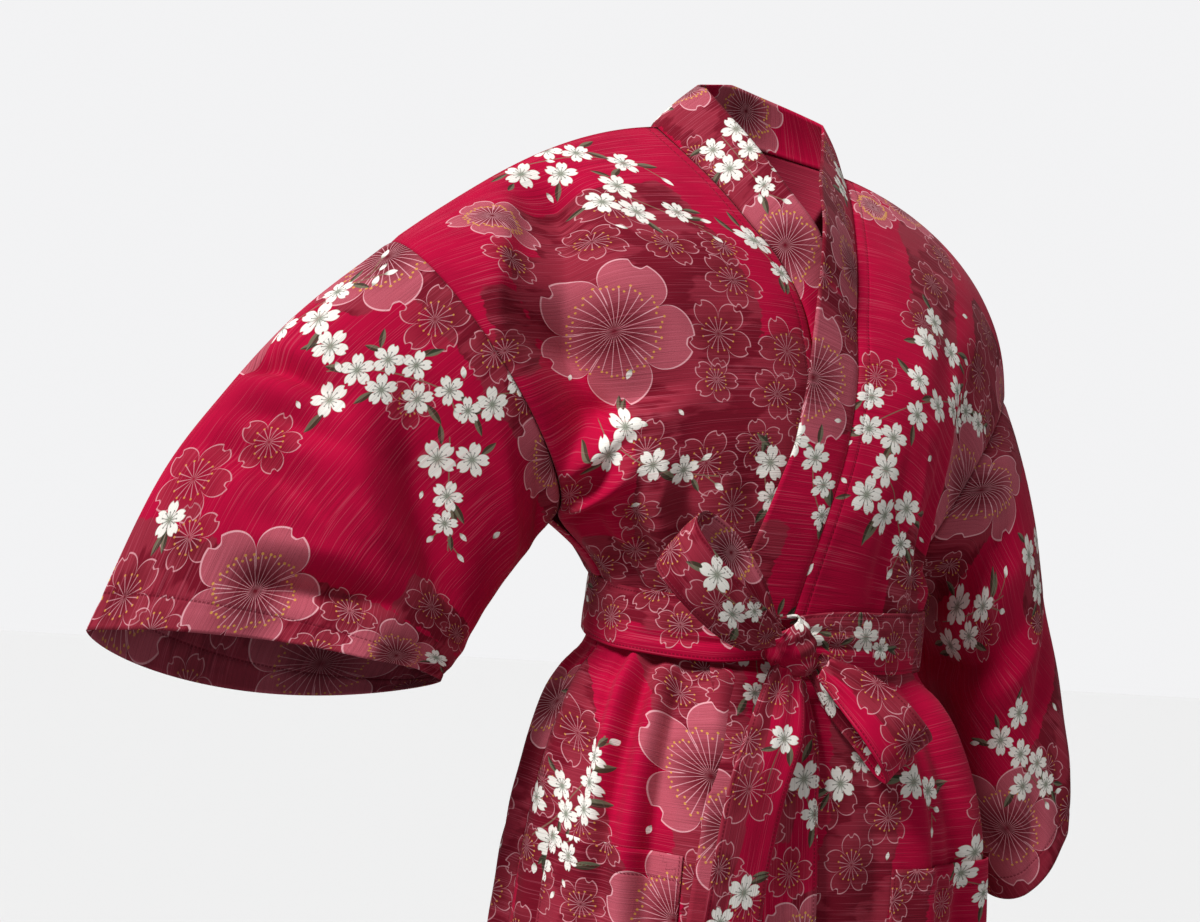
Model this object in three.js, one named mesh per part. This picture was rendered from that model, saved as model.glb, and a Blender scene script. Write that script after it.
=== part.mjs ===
// A kimono robe, worn: left front lapped over right, tie belt with a bow, two patch pockets.
// Millimetres, +Z up, the front faces -Y, the wearer's right is -X.
// The origin is midway between the two neck points of the collar seam.
import * as THREE from 'three';

const RIGHT = -1, LEFT = 1;     // the wearer's sides, as the sign of X

// driving dimensions
const CLOTH = 1.6;              // wall of a body panel
const BAND_CLOTH = 2.0;         // wall of the collar band, cut double
const BELT_CLOTH = 2.0;         // wall of the belt, a turned tube pressed flat
const SEAM = 0.7;               // gap left between two pieces at a seam, 0.3 or more where they bend
const HEM_Z = -1000;            // hem level
const CHEST_Z = -300;           // centre front level with the underarms
const BAND = 52;                // finished width of the collar band
const LAP = 7;                  // the left front stands this far off the right one
const NECK_SHARE = 0.3;         // share of the back's half width that is neck seam
const BELT = 50;                // width of the belt
const BELT_Z = -384;            // middle of the belt at the sides and back
const BELT_DIP = 8;             // the belt hangs this much lower at the front
const POCKET_OUT = CLOTH + SEAM + 0.1; // pocket cloth off the front's cloth, middle to middle

// levels of the panels' rows below the underarm, the same all round up to the belt
const LEVELS = [
  HEM_Z, -950, -900, -850, -800, -750, -700, -655, -608, -562, -530, -500, -475, -452, -436, -420,
  -402, -384, -369, -354, -336, -318, CHEST_Z,
];
const BELT_TOP_Z = -354;

// rows up the trunk: centre, half width, depth to the front and to the back
const TRUNK = [
  { z: -1000, x: 28, y: -40, wide: 220, front: 178, back: 176 },
  { z: -850, x: 28, y: -40, wide: 215, front: 173, back: 170 },
  { z: -700, x: 28, y: -41, wide: 210, front: 167, back: 164 },
  { z: -583, x: 27, y: -42, wide: 203, front: 160, back: 156 },
  { z: -500, x: 24, y: -42, wide: 188, front: 147, back: 144 },
  { z: -441, x: 20, y: -40, wide: 164, front: 125, back: 124 },
  { z: -419, x: 18, y: -38, wide: 145, front: 108, back: 109 },
  { z: -384, x: 18, y: -38, wide: 142, front: 105, back: 107 },
  { z: -354, x: 17, y: -37, wide: 145, front: 108, back: 109 },
  { z: -330, x: 10, y: -32, wide: 165, front: 120, back: 119 },
  { z: -300, x: 5, y: -26, wide: 176, front: 125, back: 122 },
];

// the left front's free edge and the right front's collar seam, across the trunk
const LEFT_EDGE = [
  { z: -1000, x: -100 }, { z: -800, x: -99 }, { z: -614, x: -95 }, { z: -470, x: -80 },
  { z: -384, x: -66 }, { z: -338, x: -60 }, { z: -300, x: -52 },
];
const RIGHT_SEAM = [
  { z: -1000, x: 88 }, { z: -800, x: 87 }, { z: -614, x: 82 }, { z: -470, x: 62 },
  { z: -384, x: 44 }, { z: -338, x: 28 }, { z: -300, x: 10 },
];

// collar seams from the chest (up 0) to the neck point (up 1), and the band's free edge
const COLLAR = {
  [RIGHT]: [
    { up: 0, seam: [10, -150, -300], free: [60, -141, -300] },
    { up: 0.25, seam: [5, -141, -240], free: [50, -130, -226] },
    { up: 0.5, seam: [-2, -125, -180], free: [34, -109, -152] },
    { up: 0.62, seam: [-9, -108, -133], free: [23, -95, -106] },
    { up: 0.75, seam: [-27, -90, -94], free: [6, -90, -67] },
    { up: 0.85, seam: [-46, -75, -70], free: [-14, -71, -36] },
    { up: 0.93, seam: [-70, -38, -32], free: [-30, -32, 2] },
    { up: 1, seam: [-93, 25, 10], free: [-50, 26, 48] },
  ],
  [LEFT]: [
    { up: 0, seam: [0, -158, -300], free: [-52, -153, -300] },
    { up: 0.25, seam: [20, -147, -240], free: [-31, -151, -235] },
    { up: 0.5, seam: [33, -130, -180], free: [-17, -137, -170] },
    { up: 0.62, seam: [40, -109, -139], free: [-8, -121, -116] },
    { up: 0.75, seam: [50, -87, -104], free: [0, -104, -62] },
    { up: 0.85, seam: [60, -62, -70], free: [22, -56, -24] },
    { up: 0.93, seam: [78, -18, -32], free: [50, -8, 4] },
    { up: 1, seam: [93, 25, -6], free: [72, 34, 36] },
  ],
};
const NAPE = { seam: [0, 88, 18], free: [4, 80, 64] };

// armholes: highest and lowest point, and how far the loop bows to the front and to the back
const ARMHOLE = {
  [RIGHT]: { top: [-326, 0, -117], low: [-175, -20, -319], front: [5, -76, 0], back: [5, 72, 0] },
  [LEFT]: { top: [279, 10, -181], low: [174, -14, -344], front: [-52, -92, 0], back: [-45, 92, 0] },
};

// how each front and the back leave the armhole (arm) and reach the collar or centre (mid)
const FRONT_DRAPE = {
  [RIGHT]: [
    { up: 0, arm: [0, -88, 0], mid: [-122, 0, -8] },
    { up: 0.35, arm: [35, -50, 14], mid: [-115, -8, 0] },
    { up: 0.7, arm: [70, -25, 35], mid: [-95, -12, 8] },
    { up: 1, arm: [78, 5, 66], mid: [-85, -3, -14] },
  ],
  [LEFT]: [
    { up: 0, arm: [-44, -76, -2], mid: [110, 0, -16] },
    { up: 0.35, arm: [-45, -45, 20], mid: [105, -8, 0] },
    { up: 0.7, arm: [-50, -28, 60], mid: [90, -12, 0] },
    { up: 1, arm: [-4, -3, 92], mid: [95, -3, -18] },
  ],
};
const BACK_DRAPE = {
  [RIGHT]: [
    { up: 0, arm: [0, 78, 0], mid: [-110, 0, -8] },
    { up: 0.4, arm: [40, 40, 16], mid: [-120, 0, 0] },
    { up: 0.75, arm: [75, 20, 40], mid: [-110, 0, 0] },
    { up: 1, arm: [80, 8, 62], mid: [-90, 0, -10] },
  ],
  [LEFT]: [
    { up: 0, arm: [-38, 72, -2], mid: [104, 0, -16] },
    { up: 0.4, arm: [-40, 36, 24], mid: [115, 0, 0] },
    { up: 0.75, arm: [-45, 20, 60], mid: [105, 0, 0] },
    { up: 1, arm: [-6, 5, 88], mid: [95, 0, -16] },
  ],
};
const CENTRE_BACK = [
  { up: 0, at: [5, 96, -300] }, { up: 0.3, at: [3, 106, -205] }, { up: 0.6, at: [1, 108, -110] },
  { up: 0.85, at: [0, 98, -35] }, { up: 1, at: NAPE.seam },
];

// rings along the sleeves: top and underarm line, bow to the front and back, and squareness
const SLEEVE = {
  [RIGHT]: [
    { t: 0, top: [-326, 0, -117], low: [-175, -20, -319], front: [5, -76, 0], back: [5, 72, 0],
      sharp: 1 },
    { t: 0.28, top: [-396, 2, -183], low: [-205, -30, -358], front: [4, -64, 4], back: [4, 66, -4],
      sharp: 1 },
    { t: 0.5, top: [-446, 2, -247], low: [-232, -40, -396], front: [4, -58, 8], back: [2, 62, -8],
      sharp: 1.05 },
    { t: 0.72, top: [-490, 2, -318], low: [-250, -50, -428], front: [2, -52, 14], back: [0, 56, -16],
      sharp: 1.2 },
    { t: 1, top: [-534, 0, -436], low: [-270, -60, -452], front: [0, -44, 16], back: [-4, 46, -34],
      sharp: 1.5 },
  ],
  [LEFT]: [
    { t: 0, top: [279, 10, -181], low: [174, -14, -344], front: [-52, -92, 0], back: [-45, 92, 0],
      sharp: 1 },
    { t: 0.1, top: [290, 10, -210], low: [193, -17, -359], front: [-36, -92, 0], back: [-33, 92, 0],
      sharp: 1 },
    { t: 0.28, top: [304, 8, -262], low: [208, -22, -425], front: [-20, -92, 0], back: [-18, 88, 0],
      sharp: 1 },
    { t: 0.5, top: [318, 6, -325], low: [226, -34, -490], front: [-8, -84, -6], back: [-6, 80, 4],
      sharp: 1 },
    { t: 0.75, top: [340, 4, -395], low: [252, -52, -555], front: [2, -76, -16], back: [2, 72, 10],
      sharp: 1.1 },
    { t: 1, top: [350, 0, -462], low: [266, -74, -612], front: [10, -62, -24], back: [4, 66, 20],
      sharp: 1.3 },
  ],
};

// folds: from (s, v) to (s2, v2) on a panel, half width and height in mm, a trough below zero
const FRONT_FOLDS = {
  [RIGHT]: [
    { s: 0.4, v: 1.98, s2: 0.1, v2: 1.66, wide: 20, high: -7 },
    { s: 0.05, v: 1.5, s2: 0.33, v2: 1.48, wide: 30, high: -8 },
    { s: 0.4, v: 1.42, s2: 0.03, v2: 1.27, wide: 17, high: 8 },
    { s: 0.5, v: 1.38, s2: 0.04, v2: 1.16, wide: 16, high: -8 },
    { s: 0.46, v: 1.58, s2: 0.6, v2: 1.47, wide: 18, high: -5 },
    { s: 0.33, v: 1.2, s2: 0.32, v2: 0.95, wide: 11, high: -5 },
    { s: 0.46, v: 1.24, s2: 0.45, v2: 0.95, wide: 10, high: -4 },
    { s: 0.2, v: 1.1, s2: 0.2, v2: 0.94, wide: 11, high: -5 },
    { s: 0.31, v: 0.82, s2: 0.36, v2: 0.5, wide: 14, high: -9 },
    { s: 0.42, v: 0.82, s2: 0.47, v2: 0.3, wide: 14, high: -8 },
    { s: 0.1, v: 0.82, s2: 0.17, v2: 0.2, wide: 18, high: -8 },
  ],
  [LEFT]: [
    { s: 0.14, v: 1.6, s2: 0.16, v2: 1.3, wide: 20, high: -6 },
    { s: 0.3, v: 1.4, s2: 0.22, v2: 0.97, wide: 13, high: 5 },
    { s: 0.55, v: 1.25, s2: 0.5, v2: 0.96, wide: 12, high: 4 },
    { s: 0.74, v: 1.2, s2: 0.7, v2: 0.96, wide: 10, high: 4 },
    { s: 0.45, v: 0.79, s2: 0.32, v2: 0.3, wide: 20, high: 9 },
    { s: 0.2, v: 0.82, s2: 0.12, v2: 0.1, wide: 18, high: -7 },
    { s: 0.7, v: 0.79, s2: 0.68, v2: 0.35, wide: 13, high: 5 },
  ],
};
const BACK_FOLDS = {
  [RIGHT]: [
    { s: 0.2, v: 1.5, s2: 0.3, v2: 0.96, wide: 18, high: -7 },
    { s: 0.55, v: 1.25, s2: 0.5, v2: 0.95, wide: 13, high: -5 },
    { s: 0.8, v: 1.3, s2: 0.76, v2: 0.95, wide: 14, high: -5 },
    { s: 0.3, v: 0.86, s2: 0.24, v2: 0.1, wide: 19, high: -9 },
    { s: 0.62, v: 0.86, s2: 0.6, v2: 0, wide: 20, high: -8 },
    { s: 0.86, v: 0.85, s2: 0.88, v2: 0.3, wide: 14, high: -6 },
  ],
  [LEFT]: [
    { s: 0.16, v: 1.55, s2: 0.26, v2: 0.97, wide: 17, high: -7 },
    { s: 0.45, v: 1.3, s2: 0.48, v2: 0.95, wide: 14, high: -5 },
    { s: 0.75, v: 1.22, s2: 0.72, v2: 0.95, wide: 12, high: -5 },
    { s: 0.22, v: 0.86, s2: 0.3, v2: 0, wide: 20, high: -8 },
    { s: 0.55, v: 0.86, s2: 0.5, v2: 0.2, wide: 18, high: -9 },
    { s: 0.8, v: 0.85, s2: 0.76, v2: 0, wide: 16, high: -6 },
  ],
};
const SLEEVE_FOLDS = {
  [RIGHT]: [
    { s: 0.06, v: 0.4, s2: 0.14, v2: 0.5, wide: 16, high: -6 },
    { s: 0.13, v: 0.55, s2: 0.27, v2: 0.72, wide: 20, high: -7 },
    { s: 0.17, v: 0.36, s2: 0.34, v2: 0.52, wide: 20, high: -8 },
    { s: 0.2, v: 0.78, s2: 0.34, v2: 0.68, wide: 22, high: -9 },
    { s: 0.62, v: 0.2, s2: 0.7, v2: 0.8, wide: 22, high: -7 },
    { s: 0.82, v: 0.3, s2: 0.84, v2: 0.7, wide: 20, high: -6 },
  ],
  [LEFT]: [
    { s: 0.24, v: 0.15, s2: 0.4, v2: 0.12, wide: 20, high: -7 },
    { s: 0.28, v: 0.36, s2: 0.46, v2: 0.26, wide: 16, high: -8 },
    { s: 0.12, v: 0.5, s2: 0.3, v2: 0.64, wide: 20, high: -6 },
    { s: 0.62, v: 0.25, s2: 0.8, v2: 0.4, wide: 22, high: -8 },
    { s: 0.66, v: 0.6, s2: 0.86, v2: 0.7, wide: 20, high: -6 },
  ],
};

// grid steps
const ROWS_ABOVE = 18, COLUMNS = 10, NECK_COLUMNS = 4;
const SLEEVE_ROWS = 10, BAND_COLUMNS = 3, BELT_STEPS = 72;

// Maths shared by every panel.
const vec = (a) => new THREE.Vector3(...a);
const mix = (a, b, t) => a + (b - a) * t;
const steps = (from, to, n) => Array.from({ length: n + 1 }, (_, i) => mix(from, to, i / n));
const smooth = (t) => THREE.MathUtils.smoothstep(t, 0, 1);

// One column of a table at t: a cubic through its rows, flat past both ends.
function column(table, key, name, t) {
  const last = table.length - 1;
  const x = THREE.MathUtils.clamp(t, table[0][key], table[last][key]);
  let i = 0;
  while (i < last - 1 && x >= table[i + 1][key]) i += 1;
  const read = (row, k) => (Array.isArray(row[name]) ? row[name][k] : row[name]);
  const slope = (j, k) => {
    const a = table[Math.max(j - 1, 0)], b = table[Math.min(j + 1, last)];
    return (read(b, k) - read(a, k)) / (b[key] - a[key]);
  };
  const h = table[i + 1][key] - table[i][key];
  const u = (x - table[i][key]) / h;
  const at = (k) => read(table[i], k) * (2 * u ** 3 - 3 * u ** 2 + 1)
    + slope(i, k) * h * (u ** 3 - 2 * u ** 2 + u)
    + read(table[i + 1], k) * (3 * u ** 2 - 2 * u ** 3)
    + slope(i + 1, k) * h * (u ** 3 - u ** 2);
  return Array.isArray(table[0][name]) ? new THREE.Vector3(at(0), at(1), at(2)) : at(0);
}

// A point on the curve that leaves a along ha and arrives at b from hb.
function curve(a, ha, hb, b, s) {
  const r = 1 - s;
  return a.clone().multiplyScalar(r ** 3)
    .addScaledVector(a.clone().add(ha), 3 * r * r * s)
    .addScaledVector(b.clone().add(hb), 3 * r * s * s)
    .addScaledVector(b, s ** 3);
}

// The trunk's ring at one level.
function ring(z) {
  const at = (name) => column(TRUNK, 'z', name, z);
  return { x: at('x'), y: at('y'), wide: at('wide'), front: at('front'), back: at('back') };
}

// The armhole loop: angle 0 at its top, half a turn at the underarm.
function armhole(side, angle, face) {
  const { top, low } = ARMHOLE[side];
  return vec(top).add(vec(low)).multiplyScalar(0.5)
    .addScaledVector(vec(top).sub(vec(low)), Math.cos(angle) / 2)
    .addScaledVector(vec(ARMHOLE[side][face]), Math.sin(angle));
}

// How far the rows between the belt's top and the underarm have turned into the armhole.
function underarmShare(side, v) {
  return smooth((mix(HEM_Z, CHEST_Z, v) - BELT_TOP_Z) / (CHEST_Z - BELT_TOP_Z));
}

// The side seam, from the hem (v 0) to the underarm (v 1).
function sideSeam(side, v) {
  const low = vec(ARMHOLE[side].low);
  const level = mix(HEM_Z, CHEST_Z, v);
  const above = (level - BELT_TOP_Z) / (CHEST_Z - BELT_TOP_Z);
  const z = level <= BELT_TOP_Z ? level : mix(BELT_TOP_Z, low.z, above);
  const r = ring(z), end = ring(low.z);
  const near = underarmShare(side, v);
  return new THREE.Vector3(r.x + side * r.wide, r.y, z)
    .addScaledVector(low.sub(new THREE.Vector3(end.x + side * end.wide, end.y, low.z)), near);
}

// The collar seam and the band's free edge, from the hem (v 0) to the neck point (v 2).
function collarEdge(side, v, name) {
  if (v >= 1) return column(COLLAR[side], 'up', name, v - 1);
  const z = mix(HEM_Z, CHEST_Z, v);
  const r = ring(z);
  const seam = side === LEFT ? column(LEFT_EDGE, 'z', 'x', z) + BAND : column(RIGHT_SEAM, 'z', 'x', z);
  const x = name === 'seam' ? seam : seam - side * BAND;
  const angle = Math.asin(THREE.MathUtils.clamp((x - r.x) / r.wide, -1, 1));
  const off = side === LEFT ? LAP : 0;
  return new THREE.Vector3(x, r.y - (r.front + off) * Math.cos(angle), z)
    .lerp(column(COLLAR[side], 'up', name, 0), smooth((z + 380) / 80));
}

// One front: v runs up to 1 at the underarm and 2 at the shoulder, s from the side to the collar.
function frontPoint(side, s, v) {
  const seam = collarEdge(side, v, 'seam');
  if (v <= 1) {
    const edge = sideSeam(side, v);
    const r = ring(mix(HEM_Z, CHEST_Z, v));
    const angle = side * Math.asin(THREE.MathUtils.clamp((seam.x - r.x) / r.wide, -1, 1));
    const reach = 4 / 3 * Math.tan((Math.PI / 2 - angle) / 4);
    const rise = (seam.z - edge.z) / 3;
    const leave = new THREE.Vector3(0, -reach * r.front, 0)
      .lerp(vec(FRONT_DRAPE[side][0].arm), underarmShare(side, v));
    const inX = side * reach * r.wide * Math.cos(angle);
    const arrive = new THREE.Vector3(inX, reach * r.front * Math.sin(angle), -rise);
    const p = curve(edge, leave, arrive, seam, s);
    if (side === LEFT) p.y -= LAP * smooth(s / 0.3) * (1 - smooth((s - 0.3) / 0.7));
    return p;
  }
  const arm = armhole(side, Math.PI * (2 - v), 'front');
  const drape = (name) => column(FRONT_DRAPE[side], 'up', name, v - 1);
  const p = curve(arm, drape('arm'), drape('mid'), seam, s);
  const lap = smooth(s / 0.3) * (1 - smooth((s - 0.3) / 0.7)) * (1 - smooth((v - 1) / 0.4));
  if (side === LEFT) p.y -= LAP * lap;
  return p;
}

// The shoulder seam, from the armhole (t 0) to the neck point (t 1).
function shoulderSeam(side, t) {
  const drape = (name) => column(FRONT_DRAPE[side], 'up', name, 1);
  return curve(armhole(side, 0, 'front'), drape('arm'), drape('mid'), collarEdge(side, 2, 'seam'), t);
}

// The neck seam or the band's upper edge, from a neck point (t 0) to the nape (t 1).
function neckEdge(side, t, name) {
  const from = collarEdge(side, 2, name), to = vec(NAPE[name]);
  const a = t * Math.PI / 2;
  return new THREE.Vector3(
    to.x + (from.x - to.x) * Math.max(Math.cos(a), 0) ** 0.85,
    from.y + (to.y - from.y) * Math.sin(a),
    mix(from.z, to.z, t));
}

// Half the back: s runs from the side to the centre, where both halves meet.
function backPoint(side, s, v) {
  if (v <= 1) {
    const edge = sideSeam(side, v);
    const z = mix(HEM_Z, CHEST_Z, v);
    const r = ring(z);
    const reach = 4 / 3 * Math.tan(Math.PI / 8);
    const rise = (z - edge.z) / 3;
    const mid = new THREE.Vector3(r.x, r.y + r.back, z);
    const armWay = vec(BACK_DRAPE[side][0].arm);
    const leave = new THREE.Vector3(0, reach * r.back, 0).lerp(armWay, underarmShare(side, v));
    return curve(edge, leave, new THREE.Vector3(side * reach * r.wide, 0, -rise), mid, s);
  }
  const across = (up) => {
    const drape = (name) => column(BACK_DRAPE[side], 'up', name, up);
    return curve(armhole(side, Math.PI * (1 - up), 'back'), drape('arm'), drape('mid'),
      column(CENTRE_BACK, 'up', 'at', up), s);
  };
  const shoulder = 1 - NECK_SHARE;
  const atNeck = (s - shoulder) / NECK_SHARE;
  const top = s <= shoulder ? shoulderSeam(side, s / shoulder) : neckEdge(side, atNeck, 'seam');
  return across(v - 1).addScaledVector(top.sub(across(1)), (v - 1) ** 3);
}

// A sleeve: t from the armhole to the cuff, turn once round from the top by the front.
function sleevePoint(side, turn, t) {
  const at = (name) => column(SLEEVE[side], 't', name, t);
  const angle = turn * 2 * Math.PI;
  const bow = Math.sin(angle);
  return at('top').add(at('low')).multiplyScalar(0.5)
    .addScaledVector(at('top').sub(at('low')), Math.cos(angle) / 2)
    .addScaledVector(at(bow >= 0 ? 'front' : 'back'), Math.abs(bow) ** at('sharp'));
}

// Height of a panel's folds at (s, v): soft ridges and troughs that fade at their ends.
function foldHeight(folds, s, v, width, length) {
  let high = 0;
  for (const f of folds) {
    const ax = (f.s2 - f.s) * width, ay = (f.v2 - f.v) * length;
    const px = (s - f.s) * width, py = (v - f.v) * length;
    const run = Math.hypot(ax, ay);
    const along = (px * ax + py * ay) / run, aside = (px * ay - py * ax) / run;
    const past = Math.max(-along, along - run, 0);
    const soft = 2.5 * f.wide;
    const fade = smooth((along + f.wide) / soft) * smooth((run - along + f.wide) / soft);
    high += f.high * Math.exp(-((Math.hypot(aside, past * 0.5) / f.wide) ** 2)) * fade;
  }
  return high;
}

// Grids of points, and the closed walls made from them.
const grid = (us, vs, point) => vs.map((v) => us.map((u) => point(u, v)));

// The unit normal at every point of a grid; a closed grid joins its last column to its first.
function gridNormals(points, closed = false) {
  const wrap = (j, n) => (closed ? (j + n) % n : THREE.MathUtils.clamp(j, 0, n - 1));
  return points.map((row, i) => row.map((_, j) => {
    const n = row.length;
    const down = points[Math.max(i - 1, 0)][j], up = points[Math.min(i + 1, points.length - 1)][j];
    const across = row[wrap(j + 1, n)].clone().sub(row[wrap(j - 1, n)]);
    return across.cross(up.clone().sub(down)).normalize();
  }));
}

// Move a grid's points along its normals by a height at each.
function raise(points, normals, height) {
  return points.map((row, i) => row.map((p, j) => p.clone().addScaledVector(normals[i][j], height(i, j))));
}

// Pull the listed edges of a grid back by half a seam gap.
function trim(points, edges, by = SEAM / 2) {
  const out = points.map((row) => row.map((p) => p.clone()));
  const last = points.length - 1, end = points[0].length - 1;
  const pull = (i, j, k, l) => {
    const inward = points[k][l].clone().sub(points[i][j]).normalize();
    out[i][j].addScaledVector(inward, by);
  };
  for (let j = 0; j <= end; j += 1) {
    if (edges.includes('bottom')) pull(0, j, 1, j);
    if (edges.includes('top')) pull(last, j, last - 1, j);
  }
  for (let i = 0; i <= last; i += 1) {
    if (edges.includes('start')) pull(i, 0, i, 1);
    if (edges.includes('end')) pull(i, end, i, end - 1);
  }
  return out;
}

// A closed wall of one thickness on both sides of a grid, with its rims.
function wall(points, normals, thick, closed = false) {
  const rows = points.length, cols = points[0].length;
  const outer = raise(points, normals, () => thick / 2), inner = raise(points, normals, () => -thick / 2);
  const position = [...outer.flat(), ...inner.flat()].flatMap((p) => [p.x, p.y, p.z]);
  const index = [];
  const face = (a, b, c, d) => index.push(a, b, c, a, c, d);
  const out = (i, j) => i * cols + (j % cols), inn = (i, j) => rows * cols + out(i, j);
  const spans = closed ? cols : cols - 1;
  for (let i = 0; i < rows - 1; i += 1) {
    for (let j = 0; j < spans; j += 1) {
      face(out(i, j), out(i, j + 1), out(i + 1, j + 1), out(i + 1, j));
      face(inn(i, j), inn(i + 1, j), inn(i + 1, j + 1), inn(i, j + 1));
    }
    if (!closed) {
      face(out(i + 1, 0), inn(i + 1, 0), inn(i, 0), out(i, 0));
      face(out(i, spans), inn(i, spans), inn(i + 1, spans), out(i + 1, spans));
    }
  }
  for (let j = 0; j < spans; j += 1) {
    face(out(0, j + 1), out(0, j), inn(0, j), inn(0, j + 1));
    face(out(rows - 1, j), out(rows - 1, j + 1), inn(rows - 1, j + 1), inn(rows - 1, j));
  }
  const geometry = new THREE.BufferGeometry();
  geometry.setAttribute('position', new THREE.Float32BufferAttribute(position, 3));
  geometry.setIndex(index);
  geometry.computeVertexNormals();
  return geometry;
}

const group = new THREE.Group();
group.name = 'kimono_robe';
function add(name, geometry, color) {
  const finish = { color, roughness: 0.85, metalness: 0, side: THREE.DoubleSide };
  const material = new THREE.MeshStandardMaterial(finish);
  const mesh = new THREE.Mesh(geometry, material);
  mesh.name = name;
  group.add(mesh);
}

// The panels' grids before their walls are made.
const vRows = [...LEVELS.map((z) => (z - HEM_Z) / (CHEST_Z - HEM_Z)), ...steps(1, 2, ROWS_ABOVE).slice(1)];
const sFront = steps(0, 1, COLUMNS);
const shoulderShare = 1 - NECK_SHARE;
const sNeck = steps(0, 1, NECK_COLUMNS);
const sShoulder = sFront.map((s) => s * shoulderShare);
const sHalfBack = [...sShoulder, ...sNeck.slice(1).map((t) => shoulderShare + t * NECK_SHARE)];

const edgeFade = (s, v) => smooth(s / 0.08) * smooth((1 - s) / 0.08) * smooth((2 - v) / 0.1);
const PANEL_WIDE = 350, PANEL_LONG = 720, SLEEVE_ROUND = 560, SLEEVE_LONG = 370;

// Fronts run from the side to the collar on the right, from the collar to the side on the left,
// so that every grid's normal points out of the robe.
const panels = {};
for (const side of [RIGHT, LEFT]) {
  const order = side === RIGHT ? sFront : [...sFront].reverse();
  const base = grid(order, vRows, (s, v) => frontPoint(side, s, v));
  const normals = gridNormals(base);
  const fold = (i, j) => edgeFade(order[j], vRows[i])
    * foldHeight(FRONT_FOLDS[side], order[j], vRows[i], PANEL_WIDE, PANEL_LONG);
  panels[side === RIGHT ? 'front_right' : 'front_left'] = { points: raise(base, normals, fold), order, side };
}
{
  const leftHalf = sHalfBack.map((s) => ({ side: LEFT, s }));
  const rightHalf = sHalfBack.slice(0, -1).reverse().map((s) => ({ side: RIGHT, s }));
  const both = [...leftHalf, ...rightHalf];
  const base = grid(both, vRows, ({ side, s }, v) => backPoint(side, s, v));
  const normals = gridNormals(base);
  const fold = (i, j) => smooth(both[j].s / 0.08) * smooth((2 - vRows[i]) / 0.1)
    * foldHeight(BACK_FOLDS[both[j].side], both[j].s, vRows[i], PANEL_WIDE, PANEL_LONG);
  panels.back = { points: raise(base, normals, fold) };
}
const turns = steps(0, 1, 2 * ROWS_ABOVE).slice(0, -1);
for (const side of [RIGHT, LEFT]) {
  const order = side === RIGHT ? turns : [...turns].reverse();
  const lengths = steps(0, 1, SLEEVE_ROWS).reverse();
  const base = grid(order, lengths, (turn, t) => sleevePoint(side, turn, t));
  const normals = gridNormals(base, true);
  const fold = (i, j) => smooth(lengths[i] / 0.1)
    * foldHeight(SLEEVE_FOLDS[side], order[j], lengths[i], SLEEVE_ROUND, SLEEVE_LONG);
  panels[side === RIGHT ? 'sleeve_right' : 'sleeve_left'] = { points: raise(base, normals, fold), closed: true };
}
{
  const stations = [
    ...vRows.map((v) => (name) => collarEdge(RIGHT, v, name)),
    ...sNeck.slice(1).map((t) => (name) => neckEdge(RIGHT, t, name)),
    ...sNeck.slice(0, -1).reverse().map((t) => (name) => neckEdge(LEFT, t, name)),
    ...[...vRows].reverse().slice(1).map((v) => (name) => collarEdge(LEFT, v, name)),
  ];
  const widths = steps(0, 1, BAND_COLUMNS);
  const points = stations.map((edge) => {
    const seam = edge('seam'), free = edge('free');
    return widths.map((w) => seam.clone().lerp(free, w));
  });
  panels.collar_band = { points };
}

// normals, shared by every piece that meets at a seam point
const shared = new Map();
const keyOf = (p) => [p.x, p.y, p.z].map((c) => Math.round(c * 20)).join(',');
for (const panel of Object.values(panels)) {
  panel.normals = gridNormals(panel.points, panel.closed);
  panel.points.forEach((row, i) => row.forEach((p, j) => {
    const key = keyOf(p);
    if (!shared.has(key)) shared.set(key, new THREE.Vector3());
    shared.get(key).add(panel.normals[i][j]);
  }));
}
for (const panel of Object.values(panels)) {
  panel.wallNormals = panel.points.map((row) => row.map((p) => shared.get(keyOf(p)).clone().normalize()));
}

const CRIMSON = 0xa8123a, WINE = 0x8f1f3c, DEEP = 0x6e0f28;
const EDGES = {
  back: ['start', 'end', 'top'], front_right: ['start', 'end', 'top'], front_left: ['start', 'end', 'top'],
  sleeve_right: ['top'], sleeve_left: ['top'], collar_band: ['start'],
};
const COLORS = {
  back: CRIMSON, front_right: CRIMSON, front_left: CRIMSON,
  sleeve_right: WINE, sleeve_left: WINE, collar_band: DEEP,
};
for (const [name, panel] of Object.entries(panels)) {
  const thick = name === 'collar_band' ? BAND_CLOTH : CLOTH;
  const trimmed = trim(panel.points, EDGES[name], name.startsWith('sleeve') ? 1.7 * SEAM : SEAM / 2);
  add(name, wall(trimmed, panel.wallNormals, thick, panel.closed), COLORS[name]);
}

// Pockets: a block of a front's own points, moved out.
const POCKETS = [
  { name: 'pocket_right', on: 'front_right', from: 1, to: 5, low: 5, high: 9 },
  { name: 'pocket_left', on: 'front_left', from: 3, to: 7, low: 5, high: 9 },
];
for (const { name, on, from, to, low, high } of POCKETS) {
  const { points, normals } = panels[on];
  const cut = (g) => g.slice(low, high + 1).map((row) => row.slice(from, to + 1));
  add(name, wall(raise(cut(points), cut(normals), () => POCKET_OUT), cut(normals), CLOTH), DEEP);
}

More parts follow.
